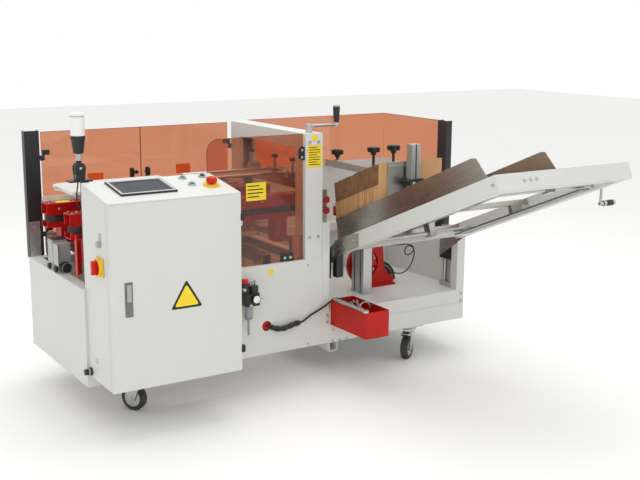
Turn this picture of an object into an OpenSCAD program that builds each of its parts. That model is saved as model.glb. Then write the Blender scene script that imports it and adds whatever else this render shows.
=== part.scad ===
// Carton erector and bottom tape sealer: a sheet-metal base on casters, a control cabinet on
// its front, a portal with a height-adjustable head, two side drives over a tape head, and an
// inclined blank magazine. Built with X along the machine (discharge end at low X), Y from
// the operator side to the back, and Z up; at_home() puts the origin on the floor under the
// middle of the whole machine.

/* [Base] */
// Length of the base along X
base_l = 1760; // [1760:10:2110]
// Depth of the base along Y
base_d = 632; // [600:4:760]
// Height of the base's top rails above its underside
base_h = 364; // [310:2:430]
// Height of the lower frame beam
beam_h = 74; // [60:1:90]
// Flange width of every frame beam
beam_w = 40; // [36:1:40]
// Wall of the frame beams
wall = 3; // [2:0.5:4]
// Thickness of the cover sheets
sheet = 2; // [1.5:0.5:2.5]
// Length of the left bay, which ends at the portal
bay_l = 1006; // [960:2:1030]
// Height of the upper beam in the magazine bay
upper_h = 60; // [40:1:80]

/* [Portal] */
// Section of the portal columns
col_w = 80; // [76:1:90]
// Top of the portal above the base's underside
portal_h = 872; // [840:2:1000]
// Height of the portal's cross beam
portal_beam_h = 60; // [50:1:80]
// Height of the head beam's underside at rest
head_z = 640; // [632:1:680]
// Diameter of the head's lead screw
head_screw_d = 20; // [16:1:24]

/* [Cabinet] */
// Width of the control cabinet
cab_w = 500; // [470:5:560]
// Depth of the cabinet's lower part
cab_d = 234; // [200:2:300]
// Height of the cabinet's underside above the base's underside
cab_z = 45; // [20:1:80]
// Height of the cabinet's front edge
cab_front_h = 708; // [680:2:740]
// Rise of the sloping top from front to back
cab_rise = 39; // [25:1:60]
// Depth of the door pan
door_t = 20; // [16:1:24]

/* [Casters] */
// Diameter of the wheels
wheel_d = 100; // [90:1:110]
// Width of a wheel
wheel_w = 32; // [28:1:34]
// Height of the base's underside above the floor
ride_h = 148; // [136:1:170]
// Trail of the swivelling wheels
trail = 30; // [20:1:35]

/* [Side drives] */
// Clear width between the two belts
carton_w = 191; // [170:1:220]
// Width of one side drive
drive_w = 70; // [64:1:76]
// Height of the side drives' underside
drive_z = 518; // [505:1:540]
// Height of a side drive
drive_h = 94; // [90:1:110]
// Diameter of the rods that carry the side drives
guide_rod_d = 25; // [20:1:30]

/* [Magazine] */
// Slope of the magazine from the horizontal, in degrees
mag_angle = 22.5; // [20:0.5:25]
// Left face of the magazine
mag_x = 1080; // [1080:1:1090]
// Width of the magazine over its rails
mag_w = 636; // [530:2:636]
// Length of the rails along the slope
mag_l = 997; // [920:1:1100]
// Depth of a rail, square to the slope
rail_h = 60; // [50:1:70]
// Width of a rail
rail_w = 40; // [30:1:45]
// Width of the carton blanks
blank_w = 310; // [280:2:330]
// Height of a carton blank
blank_h = 247; // [200:1:264]
// Thickness of the stack of blanks
stack_l = 308; // [200:4:330]
// Diameter of the magazine's cross screw
width_screw_d = 16; // [12:1:20]
// Diameter of the lift rods
lift_rod_d = 20; // [16:1:22]

/* [Guards] */
// Thickness of the tinted guard sheets
guard_t = 4; // [3:0.5:5]
// Width of the black guard posts
post_w = 60; // [50:1:70]

/* [Hidden] */
$fn = 48;
eps = 0.5;                 // how far a cut runs past the face it opens
run_c = 0.05;              // radial clearance of a running fit
gap = 0.3;                 // gap between pieces that move past each other
rod_d = 16;                // plain round rods

// floor bed of the magazine bay and the ends of the two bays
bay2_x = bay_l + 35;
floor_z = beam_h + upper_h;
frame_x1 = base_l - sheet;
frame_y1 = base_d - sheet;
side_h = base_h + 7;
rear_cover_top = 655;

// portal
col_x = bay_l - col_w;
col_y2 = frame_y1 - col_w;
slot_w = 44;
head_w = slot_w - 4;
head_h = 37;
mid_col_x = col_x + col_w / 2;
screw_y = sheet + col_w / 2;
slot_z0 = 500;
slot_top = portal_h - portal_beam_h - 7;
head_y0 = sheet + 24;
head_y1 = frame_y1 - 24;
guide_y = base_d / 2 - 21;

// cabinet
cab_x = 9;
cab_x1 = cab_x + cab_w;
cab_back = 14;
cab_top_d = cab_d + cab_back;
cab_slope = atan(cab_rise / cab_top_d);
door_gap = 2;
hinge_r = 5;
hinge_x = cab_x1 + hinge_r + 0.5;
hinge_y = -cab_d + door_t / 2;
hinge_zs = [cab_z + 70, cab_front_h - 100];
lock_x = cab_x + 65;
lock_z = cab_z + 327;

// controls on the sloping top: place from the left edge and from the front edge
hmi_size = [210, 155];
hmi_at = [181, 145];
green_at = [371, 211];
black_at = [451, 211];
blue_at = [371, 131];
stop_at = [436, 106];
button_r = 8.5;
collar_r = 15;
collar_h = 6;
stop_r = 20;

// isolator and key switch on the cabinet's left side: y and z
iso_at = [-150, 478];
iso_plate = 65;
iso_plate_t = 4;
iso_knob_l = 30;
key_at = [-152, 570];

// casters
fork_t = 3;
plate_t = 4;
king_r = 6;
axle_r = 5;
wheel_z = wheel_d / 2 - ride_h;
caster_y = 48;
caster_xs = [223, base_l - 265];
caster_y2 = base_d - caster_y;

// side drives, rods and bed
drive_x0 = 10;
drive_x1 = bay_l - 8;
drive_mid_y = base_d / 2 - 5;
drive_y_front = drive_mid_y - carton_w / 2 - drive_w;
drive_y_rear = drive_mid_y + carton_w / 2;
channel_h = 46;
low_channel_h = 22;
belt_t = 3;
belt_z0 = drive_z + low_channel_h + 1;
belt_h = drive_h - channel_h - low_channel_h - 2;
roller_r = drive_w / 2 - belt_t;
edge = 3;
roller_x0 = drive_x0 + drive_w / 2 + 4;
roller_x1 = drive_x1 - drive_w / 2 - 4;
rod_xs = [90, bay_l - 106];
rod_z = base_h + 76;
bed_z = base_h + 100;
bed_y0 = 24;
bed_gap = 90;
bed_strip_w = 25;

// tape head
tape_y = drive_mid_y;
head_plate_t = 4;
tape_w = 60;
tape_plate_gap = bed_gap - 2 * head_plate_t - 6;
tape_x = 480;
tape_z = 190;
roll_r = 95;
arm_xs = [340, 620];
arm_z = bed_z - 66;
arm_roller_r = 17;

// magazine: local X is the machine's X, local -Y runs up the slope, local Z is square to it
mag_y = -32;
mag_z = base_h + 16;
mag_x1 = mag_x + mag_w;
rail_in0 = mag_x + rail_w;
rail_in1 = mag_x1 - rail_w;
bed_n = rail_h + 2;
strip_t = 6;
bar_w = 20;
guide_t = 3;
guide_h = 93;
guide_l = 920;
guide_s0 = -50;
blank_x = rail_in0 + 8;
stack_s0 = -84;
right_guide_x = blank_x + blank_w + 2;
screw_s = mag_l - 158;
screw_n = 20;
slide_s = 120;
pusher_s = stack_s0 + stack_l + gap;
pusher_x = blank_x + 140;
clamp_z = 148;
blank_count = 27;
blank_lean = 9;               // lean of the first blank; the last one stands upright
end_t = 1.6;
lift_xs = [mag_x - end_t - 18, mag_x1 + end_t + 18];
lift_ys = [62, 107];
lift_block_z = 262;
lift_block_h = 84;
lift_top = 405;
crank_arm = 76;
crank_x = mag_x1 + 6;
grip_l = 56;
grip_r = 11;

// carton opening gear behind the blanks
arm_pivot = [right_guide_x + 4, 300];
arm_z0 = 480;
column_at = [1315, 150];
chain_at = [1585, 330];
knob_r = 30;
knob_h = 22;
bar_z = 640;
bar_x = right_guide_x - 12;
knob_ys = [123, 270, 560];
knob_zs = [764, 740, 698];

// lamp
lamp_at = [22, 62];
lamp_pivot_z = 794;
lamp_r = 25;

// tray and air service unit
tray_size = [110, 256, 108];
tray_at = [1050, 77];
frl_x = 650;
frl_z = 255;

// whole machine, for the origin
x_lo = cab_x - iso_plate_t - iso_knob_l;
x_hi = crank_x + 12 + grip_l + 8;
y_lo = mag_y - mag_l * cos(mag_angle);
y_hi = base_d + 32;
mid_x = (x_lo + x_hi) / 2;
mid_y = (y_lo + y_hi) / 2;

white = [0.93, 0.93, 0.91];
red = [0.78, 0.12, 0.09];
amber = [0.85, 0.42, 0.22, 0.6];
black = [0.09, 0.09, 0.1];
steel = [0.62, 0.62, 0.62];
zinc = [0.75, 0.76, 0.75];
kraft = [0.75, 0.55, 0.36];

// ---------------------------------------------------------------- placing and profiles

module at_home() translate([-mid_x, -mid_y, ride_h]) children();

// local frame of the magazine
module on_slope() translate([0, mag_y, mag_z]) rotate([-mag_angle, 0, 0]) children();

// box given in slope terms: x, distance up the slope s, height n square to it
module slope_box(x, s, n, size) translate([x, -s - size[1], n]) cube(size);

// point of the magazine's bed at a distance s up the slope, as [y, z]
function bed_at(s) = [
    mag_y - s * cos(mag_angle) + bed_n * sin(mag_angle),
    mag_z + s * sin(mag_angle) + bed_n * cos(mag_angle)
];

// local frame of the cabinet's sloping top: u from the left edge, v from the front edge
module on_top(at) translate([cab_x + at[0], -cab_d, cab_front_h]) rotate([cab_slope, 0, 0])
    translate([0, at[1], 0]) children();

// closed ring of C beams, open towards its inside
module ring(x0, x1, y0, y1, z0, z1) {
    difference() {
        translate([x0, y0, z0]) cube([x1 - x0, y1 - y0, z1 - z0]);
        translate([x0 + beam_w, y0 + beam_w, z0 - eps])
            cube([x1 - x0 - 2 * beam_w, y1 - y0 - 2 * beam_w, z1 - z0 + 2 * eps]);
        translate([x0 + wall, y0 + wall, z0 + wall])
            cube([x1 - x0 - 2 * wall, y1 - y0 - 2 * wall, z1 - z0 - 2 * wall]);
    }
}

// square tube standing on z, open at both ends
module tube_z(x, y, z, w, d, h, t = wall) {
    difference() {
        translate([x, y, z]) cube([w, d, h]);
        translate([x + t, y + t, z - eps]) cube([w - 2 * t, d - 2 * t, h + 2 * eps]);
    }
}

module tube_x(x, y, z, l, d, h, t = wall) {
    difference() {
        translate([x, y, z]) cube([l, d, h]);
        translate([x - eps, y + t, z + t]) cube([l + 2 * eps, d - 2 * t, h - 2 * t]);
    }
}

module tube_y(x, y, z, w, l, h, t = wall) {
    difference() {
        translate([x, y, z]) cube([w, l, h]);
        translate([x + t, y - eps, z + t]) cube([w - 2 * t, l + 2 * eps, h - 2 * t]);
    }
}

// cylinders along each axis
module cyl_x(x, y, z, r, l) translate([x, y, z]) rotate([0, 90, 0]) cylinder(r = r, h = l);
module cyl_y(x, y, z, r, l) translate([x, y, z]) rotate([-90, 0, 0]) cylinder(r = r, h = l);
module cyl_z(x, y, z, r, l) translate([x, y, z]) cylinder(r = r, h = l);

// head of a socket screw, seated at the origin and rising along +Z
module screw_head(r = 6, h = 4) {
    difference() {
        cylinder(r = r, h = h, $fn = 24);
        translate([0, 0, h / 2]) cylinder(r = r / 2, h = h, $fn = 6);
    }
}

module screw_front(x, y, z, r = 6) translate([x, y, z]) rotate([90, 0, 0]) screw_head(r);

// flat outline with rounded ends, l long and 2r wide, lying along X
module stadium(l, r) {
    translate([r, -r]) square([l - 2 * r, 2 * r]);
    translate([r, 0]) circle(r = r);
    translate([l - r, 0]) circle(r = r);
}

// ---------------------------------------------------------------- base

module base_frame() at_home() color(white) {
    ring(sheet, frame_x1, sheet, frame_y1, 0, beam_h);
    difference() {
        ring(bay2_x, frame_x1, sheet, frame_y1, beam_h, floor_z);
        // seam line between the two front beams
        translate([bay2_x - eps, sheet - eps, beam_h]) cube([base_l, 1.5, 2]);
    }
    ring(sheet, bay_l, sheet, frame_y1, base_h - beam_w, base_h);
    // floor of the magazine bay
    translate([bay2_x + wall, sheet + wall, floor_z - wall])
        cube([frame_x1 - bay2_x - 2 * wall, frame_y1 - sheet - 2 * wall, wall]);
    for (x = [sheet, bay_l - beam_w], y = [sheet, frame_y1 - beam_w])
        tube_z(x, y, beam_h, beam_w, beam_w, base_h - beam_w - beam_h);
    tube_z(frame_x1 - beam_w, sheet, floor_z, beam_w, beam_w, side_h - floor_z);
    for (x = [bay2_x, frame_x1 - beam_w])
        tube_z(x, frame_y1 - beam_w, floor_z, beam_w, beam_w, side_h - beam_w - floor_z);
    tube_x(bay2_x, frame_y1 - beam_w, side_h - beam_w, frame_x1 - bay2_x, beam_w, beam_w);
    // skid under the joint of the two bays
    tube_y(bay2_x + 4, sheet, -beam_w, beam_w, frame_y1 - sheet, beam_w);
}

// front cover with its sill, and the narrow post beside the magazine bay
module front_panel() at_home() color(white) {
    post_x = bay_l + eps;
    post_l = bay2_x - post_x;
    post_h = base_h + 139;
    post_d = 88;
    difference() {
        union() {
            cube([bay_l, sheet, base_h + sheet]);
            translate([0, 0, base_h]) cube([col_x - 1, bed_y0 - 2, sheet]);
        }
        cyl_y(bay_l - 260, -eps, 117, 21, sheet + 2 * eps);
    }
    translate([post_x, 0, 0]) cube([post_l, sheet, post_h]);
    for (x = [post_x, bay2_x - sheet])
        translate([x, 0, floor_z + 2]) cube([sheet, post_d, post_h - floor_z - 2]);
    translate([post_x, 0, post_h - sheet]) cube([post_l, post_d, sheet]);
}

// end, rear and upper rear covers
module outer_panels() at_home() color(white) {
    difference() {
        translate([0, sheet, 0]) cube([sheet, frame_y1 - sheet, base_h]);
        for (p = end_screws) translate([-eps, p[0], p[1]]) rotate([0, 90, 0])
            cylinder(r1 = 4.6, r2 = 2.9, h = sheet + 2 * eps);
    }
    translate([frame_x1, sheet, 0]) cube([sheet, frame_y1 - sheet, side_h]);
    translate([0, frame_y1, 0]) cube([col_x, sheet, base_h]);
    translate([col_x, frame_y1, 0]) cube([base_l - col_x, sheet, side_h]);
    translate([bay_l, base_d, side_h - 70]) cube([base_l - bay_l, sheet, rear_cover_top - side_h + 70]);
    translate([base_l, post_right_y + post_w, side_h - 70])
        cube([sheet, base_d + sheet - post_right_y - post_w, rear_cover_top - side_h + 70]);
}

module portal_frame() at_home() color(white) {
    cavity = col_w - 2 * wall;
    difference() {
        union() {
            for (y = [sheet, col_y2])
                translate([col_x, y, base_h]) cube([col_w, col_w, portal_h - base_h]);
            translate([col_x, sheet, portal_h - portal_beam_h])
                cube([col_w, frame_y1 - sheet, portal_beam_h]);
        }
        for (y = [sheet, col_y2])
            translate([col_x + wall, y + wall, base_h - eps])
                cube([cavity, cavity, portal_h - base_h - wall + eps]);
        translate([col_x + wall, sheet + wall, portal_h - portal_beam_h + wall])
            cube([cavity, frame_y1 - sheet - 2 * wall, portal_beam_h - 2 * wall]);
        // slots for the head beam in the columns' facing walls
        translate([mid_col_x - slot_w / 2, sheet + col_w / 2, slot_z0])
            cube([slot_w, col_y2 - sheet, slot_top - slot_z0]);
        cyl_z(mid_col_x, screw_y, portal_h - 2 * wall, head_screw_d / 2 + run_c, 3 * wall);
    }
}

// caster plates, rear forks, column and cover screws and brackets
end_screws = [for (y = [36, base_d / 2, base_d - 8], z = [base_h - 20, 10]) [y, z]];

module plated_fittings() at_home() color(zinc) {
    for (x = caster_xs) caster_plate(x, caster_y, 1);
    for (x = caster_xs) {
        caster_plate(x, caster_y2, 0);
        translate([x, caster_y2, -plate_t]) rear_fork();
    }
    for (x = [mid_col_x - 20, mid_col_x + 20], z = [portal_h - 34, base_h + 92])
        screw_front(x, sheet, z);
    for (x = [bay_l - 68, cab_x1 + 40], z = [base_h - 20, 13]) screw_front(x, 0, z, 4);
    for (z = [floor_z - 18, beam_h + 10]) screw_front(frame_x1 - 14, sheet, z, 5);
    for (z = [90, 120]) screw_front(bay2_x - 10, 0, z, 5);
    for (p = [[0, 52], [0, 5], [36, 5], [70, 5]])
        screw_front(bay2_x + 20 + p[0], sheet, p[1], 5);
    // flush screws in the discharge end
    for (p = end_screws) translate([0.1, p[0], p[1]]) rotate([0, 90, 0])
        cylinder(r1 = 4, r2 = 2.3, h = sheet - 0.1);
    // angle at the foot of the left guard post
    translate([6, base_d + sheet, base_h - 10]) cube([44, 30, 4]);
    translate([6, base_d - 4, base_h]) cube([44, 4, 142]);
    for (z = [base_h + 25, base_h + 120]) screw_front(28, base_d - 4, z);
}

module caster_plate(x, y, pin) {
    translate([x - 50, y - 42, -plate_t]) cube([100, 84, plate_t]);
    for (dx = [-38, 38], dy = [-30, 30])
        translate([x + dx, y + dy, -plate_t]) rotate([180, 0, 0]) screw_head(6, 4);
    if (pin == 1) {
        cyl_z(x, y, -plate_t - 22, king_r, 22);
        cyl_z(x, y, -plate_t - 22, king_r + 4, 5);
    }
}

// one cheek of a fork, drawn towards -Z from the crown
module fork_cheek(tr) {
    drop = ride_h - wheel_d / 2 - plate_t;
    rotate([90, 0, 0]) linear_extrude(fork_t) difference() {
        hull() {
            translate([-20, -16]) square([44, 4]);
            translate([tr, -drop]) circle(r = 15, $fn = 32);
        }
        translate([tr, -drop]) circle(r = axle_r);
    }
}

// fork with its axle; the wheel turns on the axle
module fork(tr) {
    drop = ride_h - wheel_d / 2 - plate_t;
    cheek_y = wheel_w / 2 + 1.5;
    for (y = [-cheek_y, cheek_y + fork_t]) translate([0, y, 0]) fork_cheek(tr);
    translate([-20, -cheek_y - fork_t, -16]) cube([44, 2 * (cheek_y + fork_t), 4]);
    cyl_y(tr, -cheek_y - fork_t - 4, -drop, axle_r, 2 * (cheek_y + fork_t + 4));
}

module rear_fork() {
    fork(0);
    for (y = [-wheel_w / 2 - 1.5 - fork_t, wheel_w / 2 + 1.5])
        translate([-20, y, -16]) cube([44, fork_t, 16]);
}

module swivel_fork(x, turn) {
    translate([x, caster_y, -plate_t]) rotate([0, 0, turn]) {
        difference() {
            union() {
                fork(trail);
                cyl_z(0, 0, -16, 30, 16 - gap);
            }
            cyl_z(0, 0, -17, king_r + run_c, 18);
            cyl_z(0, 0, -23, king_r + 4 + 2 * gap, 23 - 16 + 4);
        }
        // brake lever over the wheel
        translate([trail - 4, -14, -28]) cube([42, 28, 4]);
        translate([trail - 4, -wheel_w / 2 - 3, -32]) cube([8, wheel_w + 6, 8]);
    }
}

module wheel_at(x, y) {
    translate([x, y, wheel_z]) rotate([90, 0, 0]) difference() {
        union() {
            translate([0, 0, -wheel_w / 2 + 4]) cylinder(r = wheel_d / 2, h = wheel_w - 8);
            translate([0, 0, -wheel_w / 2]) cylinder(r = wheel_d / 2 - 5, h = wheel_w);
        }
        translate([0, 0, -wheel_w]) cylinder(r = axle_r + run_c, h = 2 * wheel_w);
        for (s = [-1, 1]) translate([0, 0, s * wheel_w / 2 - 4])
            difference() {
                cylinder(r = wheel_d / 2 - 15, h = 8);
                translate([0, 0, -1]) cylinder(r = 14, h = 10);
            }
    }
}

// the two front casters stand turned, as they were last pushed
turn_left = 122;
turn_right = -145;

module caster_fork_left() at_home() color(zinc) swivel_fork(caster_xs[0], turn_left);
module caster_fork_right() at_home() color(zinc) swivel_fork(caster_xs[1], turn_right);

module front_wheel(x, turn) at_home() color(black)
    translate([x, caster_y, 0]) rotate([0, 0, turn]) wheel_at(trail, 0);

module wheel_front_left() front_wheel(caster_xs[0], turn_left);
module wheel_front_right() front_wheel(caster_xs[1], turn_right);
module wheel_rear_left() at_home() color(black) wheel_at(caster_xs[0], caster_y2);
module wheel_rear_right() at_home() color(black) wheel_at(caster_xs[1], caster_y2);

// ---------------------------------------------------------------- control cabinet

module cab_outline() {
    front = -cab_d + door_t + door_gap;
    polygon([
        [front, cab_z],
        [0, cab_z],
        [0, base_h + sheet],
        [cab_back, base_h + sheet],
        [cab_back, cab_front_h + cab_rise],
        [-cab_d, cab_front_h],
        [-cab_d, cab_front_h - 4],
        [front, cab_front_h - 4]
    ]);
}

module cabinet_shell() at_home() color(white) {
    difference() {
        translate([cab_x, 0, 0]) rotate([90, 0, 90]) linear_extrude(cab_w) cab_outline();
        cab_cavity();
        on_top(hmi_at) translate([-95, -67, -20]) cube([190, 134, 40]);
        for (p = [green_at, black_at, blue_at, stop_at]) on_top(p)
            translate([0, 0, -20]) cylinder(r = 11.2, h = 40);
        cyl_x(cab_x - eps, iso_at[0], iso_at[1], 7, sheet + 2 * eps);
        cyl_x(cab_x - eps, key_at[0], key_at[1], 9, sheet + 2 * eps);
        cyl_x(cab_x - eps, -22, cab_z + 22, 10, sheet + 2 * eps);
    }
    // hinge halves on the right side
    for (z = hinge_zs) {
        translate([cab_x1, -cab_d + door_t + door_gap, z - 22]) cube([2, 24, 20]);
        translate([cab_x1 + gap, hinge_y, z - 22]) cube([2 - gap, door_t / 2 + door_gap, 20]);
        cyl_z(hinge_x, hinge_y, z - 22, hinge_r, 20);
        cyl_z(hinge_x, hinge_y, z - 22, 2.5, 42);
    }
}

module cab_cavity() {
    front = -cab_d + door_t + door_gap - 5;
    translate([cab_x + sheet, front, cab_z + sheet])
        cube([cab_w - 2 * sheet, -sheet - front, cab_front_h - 12 - cab_z]);
    translate([cab_x + sheet, -20, base_h + 2 * sheet])
        cube([cab_w - 2 * sheet, 20 + cab_back - sheet, cab_front_h - base_h - 16]);
    translate([cab_x + sheet, 0, 0]) rotate([90, 0, 90]) linear_extrude(cab_w - 2 * sheet)
        polygon([
            [front, cab_front_h - 20],
            [cab_back - sheet, cab_front_h - 20],
            [cab_back - sheet, cab_front_h + (cab_top_d - sheet) * tan(cab_slope) - sheet - 1],
            [front, cab_front_h + (front + cab_d) * tan(cab_slope) - sheet - 1]
        ]);
}

// mounting plate inside the cabinet, with rails, breakers, contactors and a drive
module component_plate() at_home() color(steel) {
    px = cab_x + 45;
    pz = cab_z + 60;
    pw = cab_w - 90;
    ph = 470;
    back = -sheet;
    for (dx = [20, pw - 20], dz = [20, ph - 180])
        cyl_y(px + dx, back - 18, pz + dz, 5, 18);
    translate([px, back - 21, pz]) cube([pw, 3, ph]);
    for (row = [0:2]) {
        z = pz + 60 + row * 140;
        translate([px + 20, back - 29, z]) cube([pw - 40, 8, 35]);
        for (i = [0:5 + row]) translate([px + 30 + i * 44, back - 29 - 60, z - 25])
            cube([36 - 4 * row, 60, 85]);
    }
    translate([px + 300, back - 21 - 110, pz + 40]) cube([90, 110, 150]);
}

module hmi_panel() at_home() color(black) {
    on_top(hmi_at) {
        difference() {
            translate([-hmi_size[0] / 2, -hmi_size[1] / 2, 0]) cube([hmi_size[0], hmi_size[1], 7]);
            translate([-88, -60, 5]) cube([176, 120, 5]);
        }
        translate([-93, -65, -38]) cube([186, 130, 38]);
    }
}

// collar of a push button: a flange on the panel and a neck through it
module collar(r = collar_r, bore = button_r + run_c) {
    difference() {
        union() {
            cylinder(r = r, h = collar_h);
            translate([0, 0, -26]) cylinder(r = 11, h = 27);
        }
        translate([0, 0, -18]) cylinder(r = bore, h = 40);
    }
}

module control_bezels() at_home() color(zinc) {
    for (p = [green_at, black_at, blue_at]) on_top(p) collar();
    on_top(stop_at) collar(30, button_r + run_c);
    // isolator plate with its shaft collar
    difference() {
        union() {
            translate([cab_x - iso_plate_t, iso_at[0] - iso_plate / 2, iso_at[1] - iso_plate / 2])
                cube([iso_plate_t, iso_plate, iso_plate]);
            cyl_x(cab_x - iso_plate_t, iso_at[0], iso_at[1], 6.8, 30);
        }
        cyl_x(cab_x - 20, iso_at[0], iso_at[1], 4 + run_c, 60);
    }
    // key switch with its tag plate
    translate([cab_x - 1.5, key_at[0] - 11, key_at[1] - 4]) cube([1.5, 22, 30]);
    cyl_x(cab_x - 14, key_at[0], key_at[1] - 12, 11, 14);
    cyl_x(cab_x, key_at[0], key_at[1], 8, 24);
    // cable gland
    difference() {
        union() {
            cyl_x(cab_x - 14, -22, cab_z + 22, 14, 14);
            cyl_x(cab_x - 26, -22, cab_z + 22, 10, 12);
            cyl_x(cab_x, -22, cab_z + 22, 9.8, 14);
        }
        cyl_x(cab_x - 30, -22, cab_z + 22, 5.5, 60);
    }
}

module cabinet_door() at_home() color(white) {
    z0 = cab_z;
    z1 = cab_front_h - 4 - gap;
    difference() {
        union() {
            difference() {
                translate([cab_x, -cab_d, z0]) cube([cab_w, door_t, z1 - z0]);
                translate([cab_x + sheet, -cab_d + sheet, z0 + sheet])
                    cube([cab_w - 2 * sheet, door_t, z1 - z0 - 2 * sheet]);
            }
            // lock case
            translate([lock_x - 18, -cab_d, lock_z - 64]) cube([36, 14, 128]);
        }
        cyl_y(lock_x, -cab_d - eps, lock_z - 20, 9 + run_c, 20);
        translate([lock_x - 14, -cab_d - eps, lock_z + 4]) cube([28, 8, 52]);
    }
    // hinge halves
    for (z = hinge_zs) difference() {
        union() {
            cyl_z(hinge_x, hinge_y, z - 2 + gap, hinge_r, 20);
            translate([cab_x1 - 1, hinge_y - 2, z - 2 + gap]) cube([hinge_r, 4, 20]);
        }
        cyl_z(hinge_x, hinge_y, z - 4, 2.5 + run_c, 30);
    }
}

// lock barrel with its cam behind the door
module door_latch() at_home() color(zinc) {
    difference() {
        cyl_y(lock_x, -cab_d - 2, lock_z - 20, 9, 22);
        translate([lock_x - 1, -cab_d - 3, lock_z - 26]) cube([2, 4, 12]);
    }
    translate([lock_x - 8, -cab_d + 15, lock_z - 28]) cube([16, 4, 50]);
}

module isolator_knob() at_home() color(red) {
    knob_x = cab_x - iso_plate_t - gap;
    cyl_x(knob_x - 8, iso_at[0], iso_at[1], 26, 8);
    cyl_x(knob_x - 10, iso_at[0], iso_at[1], 4, 60);
    translate([knob_x - iso_knob_l + gap, iso_at[0] - 7, iso_at[1] - 24])
        cube([iso_knob_l - 6, 14, 48]);
}

module push_button(at) on_top(at) {
    translate([0, 0, -8]) cylinder(r = button_r, h = 8 + collar_h + 4);
    translate([0, 0, -14]) cylinder(r = 5, h = 7);
}

module button_green() at_home() color([0.1, 0.55, 0.3]) push_button(green_at);
module button_blue() at_home() color([0.2, 0.45, 0.65]) push_button(blue_at);
module button_black() at_home() color(black) push_button(black_at);

module estop_head() at_home() color(red) on_top(stop_at) {
    translate([0, 0, -10]) cylinder(r = button_r, h = 24);
    translate([0, 0, collar_h + 8]) cylinder(r = stop_r, h = 12);
    translate([0, 0, collar_h + 20]) cylinder(r = stop_r - 4, h = 4);
}

// ---------------------------------------------------------------- guards and lamp

post_right_y = 158;
door_z0 = base_h + 8;
door_z1 = portal_h - 6;
door_y = base_d + 6;
pull_z = 672;
leaf_zs = [base_h + 100, portal_h - 98];
leaf_xs = [post_w + 18, col_x - 12];

// fixed barrel of a rear door's hinge, with its pin
module fixed_hinge(x) {
    for (z = leaf_zs) {
        cyl_z(x, door_y - 8, z - 22, 5, 21);
        cyl_z(x, door_y - 8, z - 22, 2.5, 42);
    }
}

module guard_posts() at_home() color(black) {
    // rear left post stands outside the rear cover, on the corner angle
    difference() {
        translate([4, base_d, base_h - 6]) cube([post_w, 32, portal_h - base_h + 6]);
        translate([7, base_d + 3, base_h - 7]) cube([post_w - 6, 30, portal_h - base_h + 8]);
        translate([5, base_d + sheet, base_h - 10.5]) cube([46, 31, 5]);
    }
    // right post, open towards the outside
    difference() {
        translate([base_l + sheet, post_right_y, side_h - 70])
            cube([32, post_w, portal_h - side_h + 70]);
        translate([base_l + sheet + 3, post_right_y + 3, side_h - 71])
            cube([30, post_w - 6, portal_h - side_h + 72]);
    }
    translate([base_l, post_right_y, side_h - 70]) cube([sheet, post_w, 64]);
    fixed_hinge(leaf_xs[0]);
    fixed_hinge(leaf_xs[1]);
    for (z = leaf_zs) {
        translate([post_w - 6, door_y - 10, z - 22]) cube([leaf_xs[0] - post_w + 6, 4, 21]);
        translate([leaf_xs[1], frame_y1, z - 22]) cube([26, 1.5, 21]);
    }
    // brackets of the front guard on the column and on the sill
    for (z = [794]) {
        translate([col_x - 4, 8, z - 26]) cube([4, 30, 52]);
        translate([col_x - 24, 8, z - 20]) cube([24, 8, 40]);
    }
    translate([826, 20, base_h + sheet]) cube([50, 16, 30]);
    // lamp post with its foot
    tube_z(lamp_at[0] + 6, lamp_at[1] - 12, base_h, 24, 24, 745 - base_h);
    translate([lamp_at[0] - 42, lamp_at[1] - 20, 745]) cube([84, 40, 6]);
    difference() {
        hull() {
            translate([lamp_at[0] - 16, lamp_at[1] - 14, 751]) cube([32, 28, 2]);
            cyl_y(lamp_at[0], lamp_at[1] - 14, lamp_pivot_z, 20, 28);
        }
        translate([lamp_at[0] - 30, lamp_at[1] - 6, lamp_pivot_z - 24]) cube([60, 12, 60]);
        cyl_y(lamp_at[0], lamp_at[1] - 20, lamp_pivot_z, 5, 40);
    }
    cyl_y(lamp_at[0], lamp_at[1] - 17, lamp_pivot_z, 5, 34);
}

// front sheet with its rounded corner, rear sheet and right sheet
module amber_guards() at_home() color(amber) {
    z0 = base_h + sheet;
    fx0 = cab_x1 - 7;
    fx1 = col_x - 4;
    r = 50;
    translate([0, cab_back + 2 + guard_t, 0]) rotate([90, 0, 0]) linear_extrude(guard_t) {
        translate([fx0, z0]) square([fx1 - fx0, portal_h - z0 - r]);
        translate([fx0 + r, portal_h - r - 1]) square([fx1 - fx0 - r, r + 1]);
        translate([fx0 + r, portal_h - r]) circle(r = r);
    }
    overlap = 15;
    h = portal_h - rear_cover_top + overlap;
    y1 = base_d + sheet;
    translate([bay_l + 2, y1, rear_cover_top - overlap])
        cube([base_l + sheet - bay_l - 2 + guard_t, guard_t, h]);
    translate([base_l + sheet, post_right_y + post_w + 1, rear_cover_top - overlap])
        cube([guard_t, y1 - gap - post_right_y - post_w - 1, h]);
}

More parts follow.
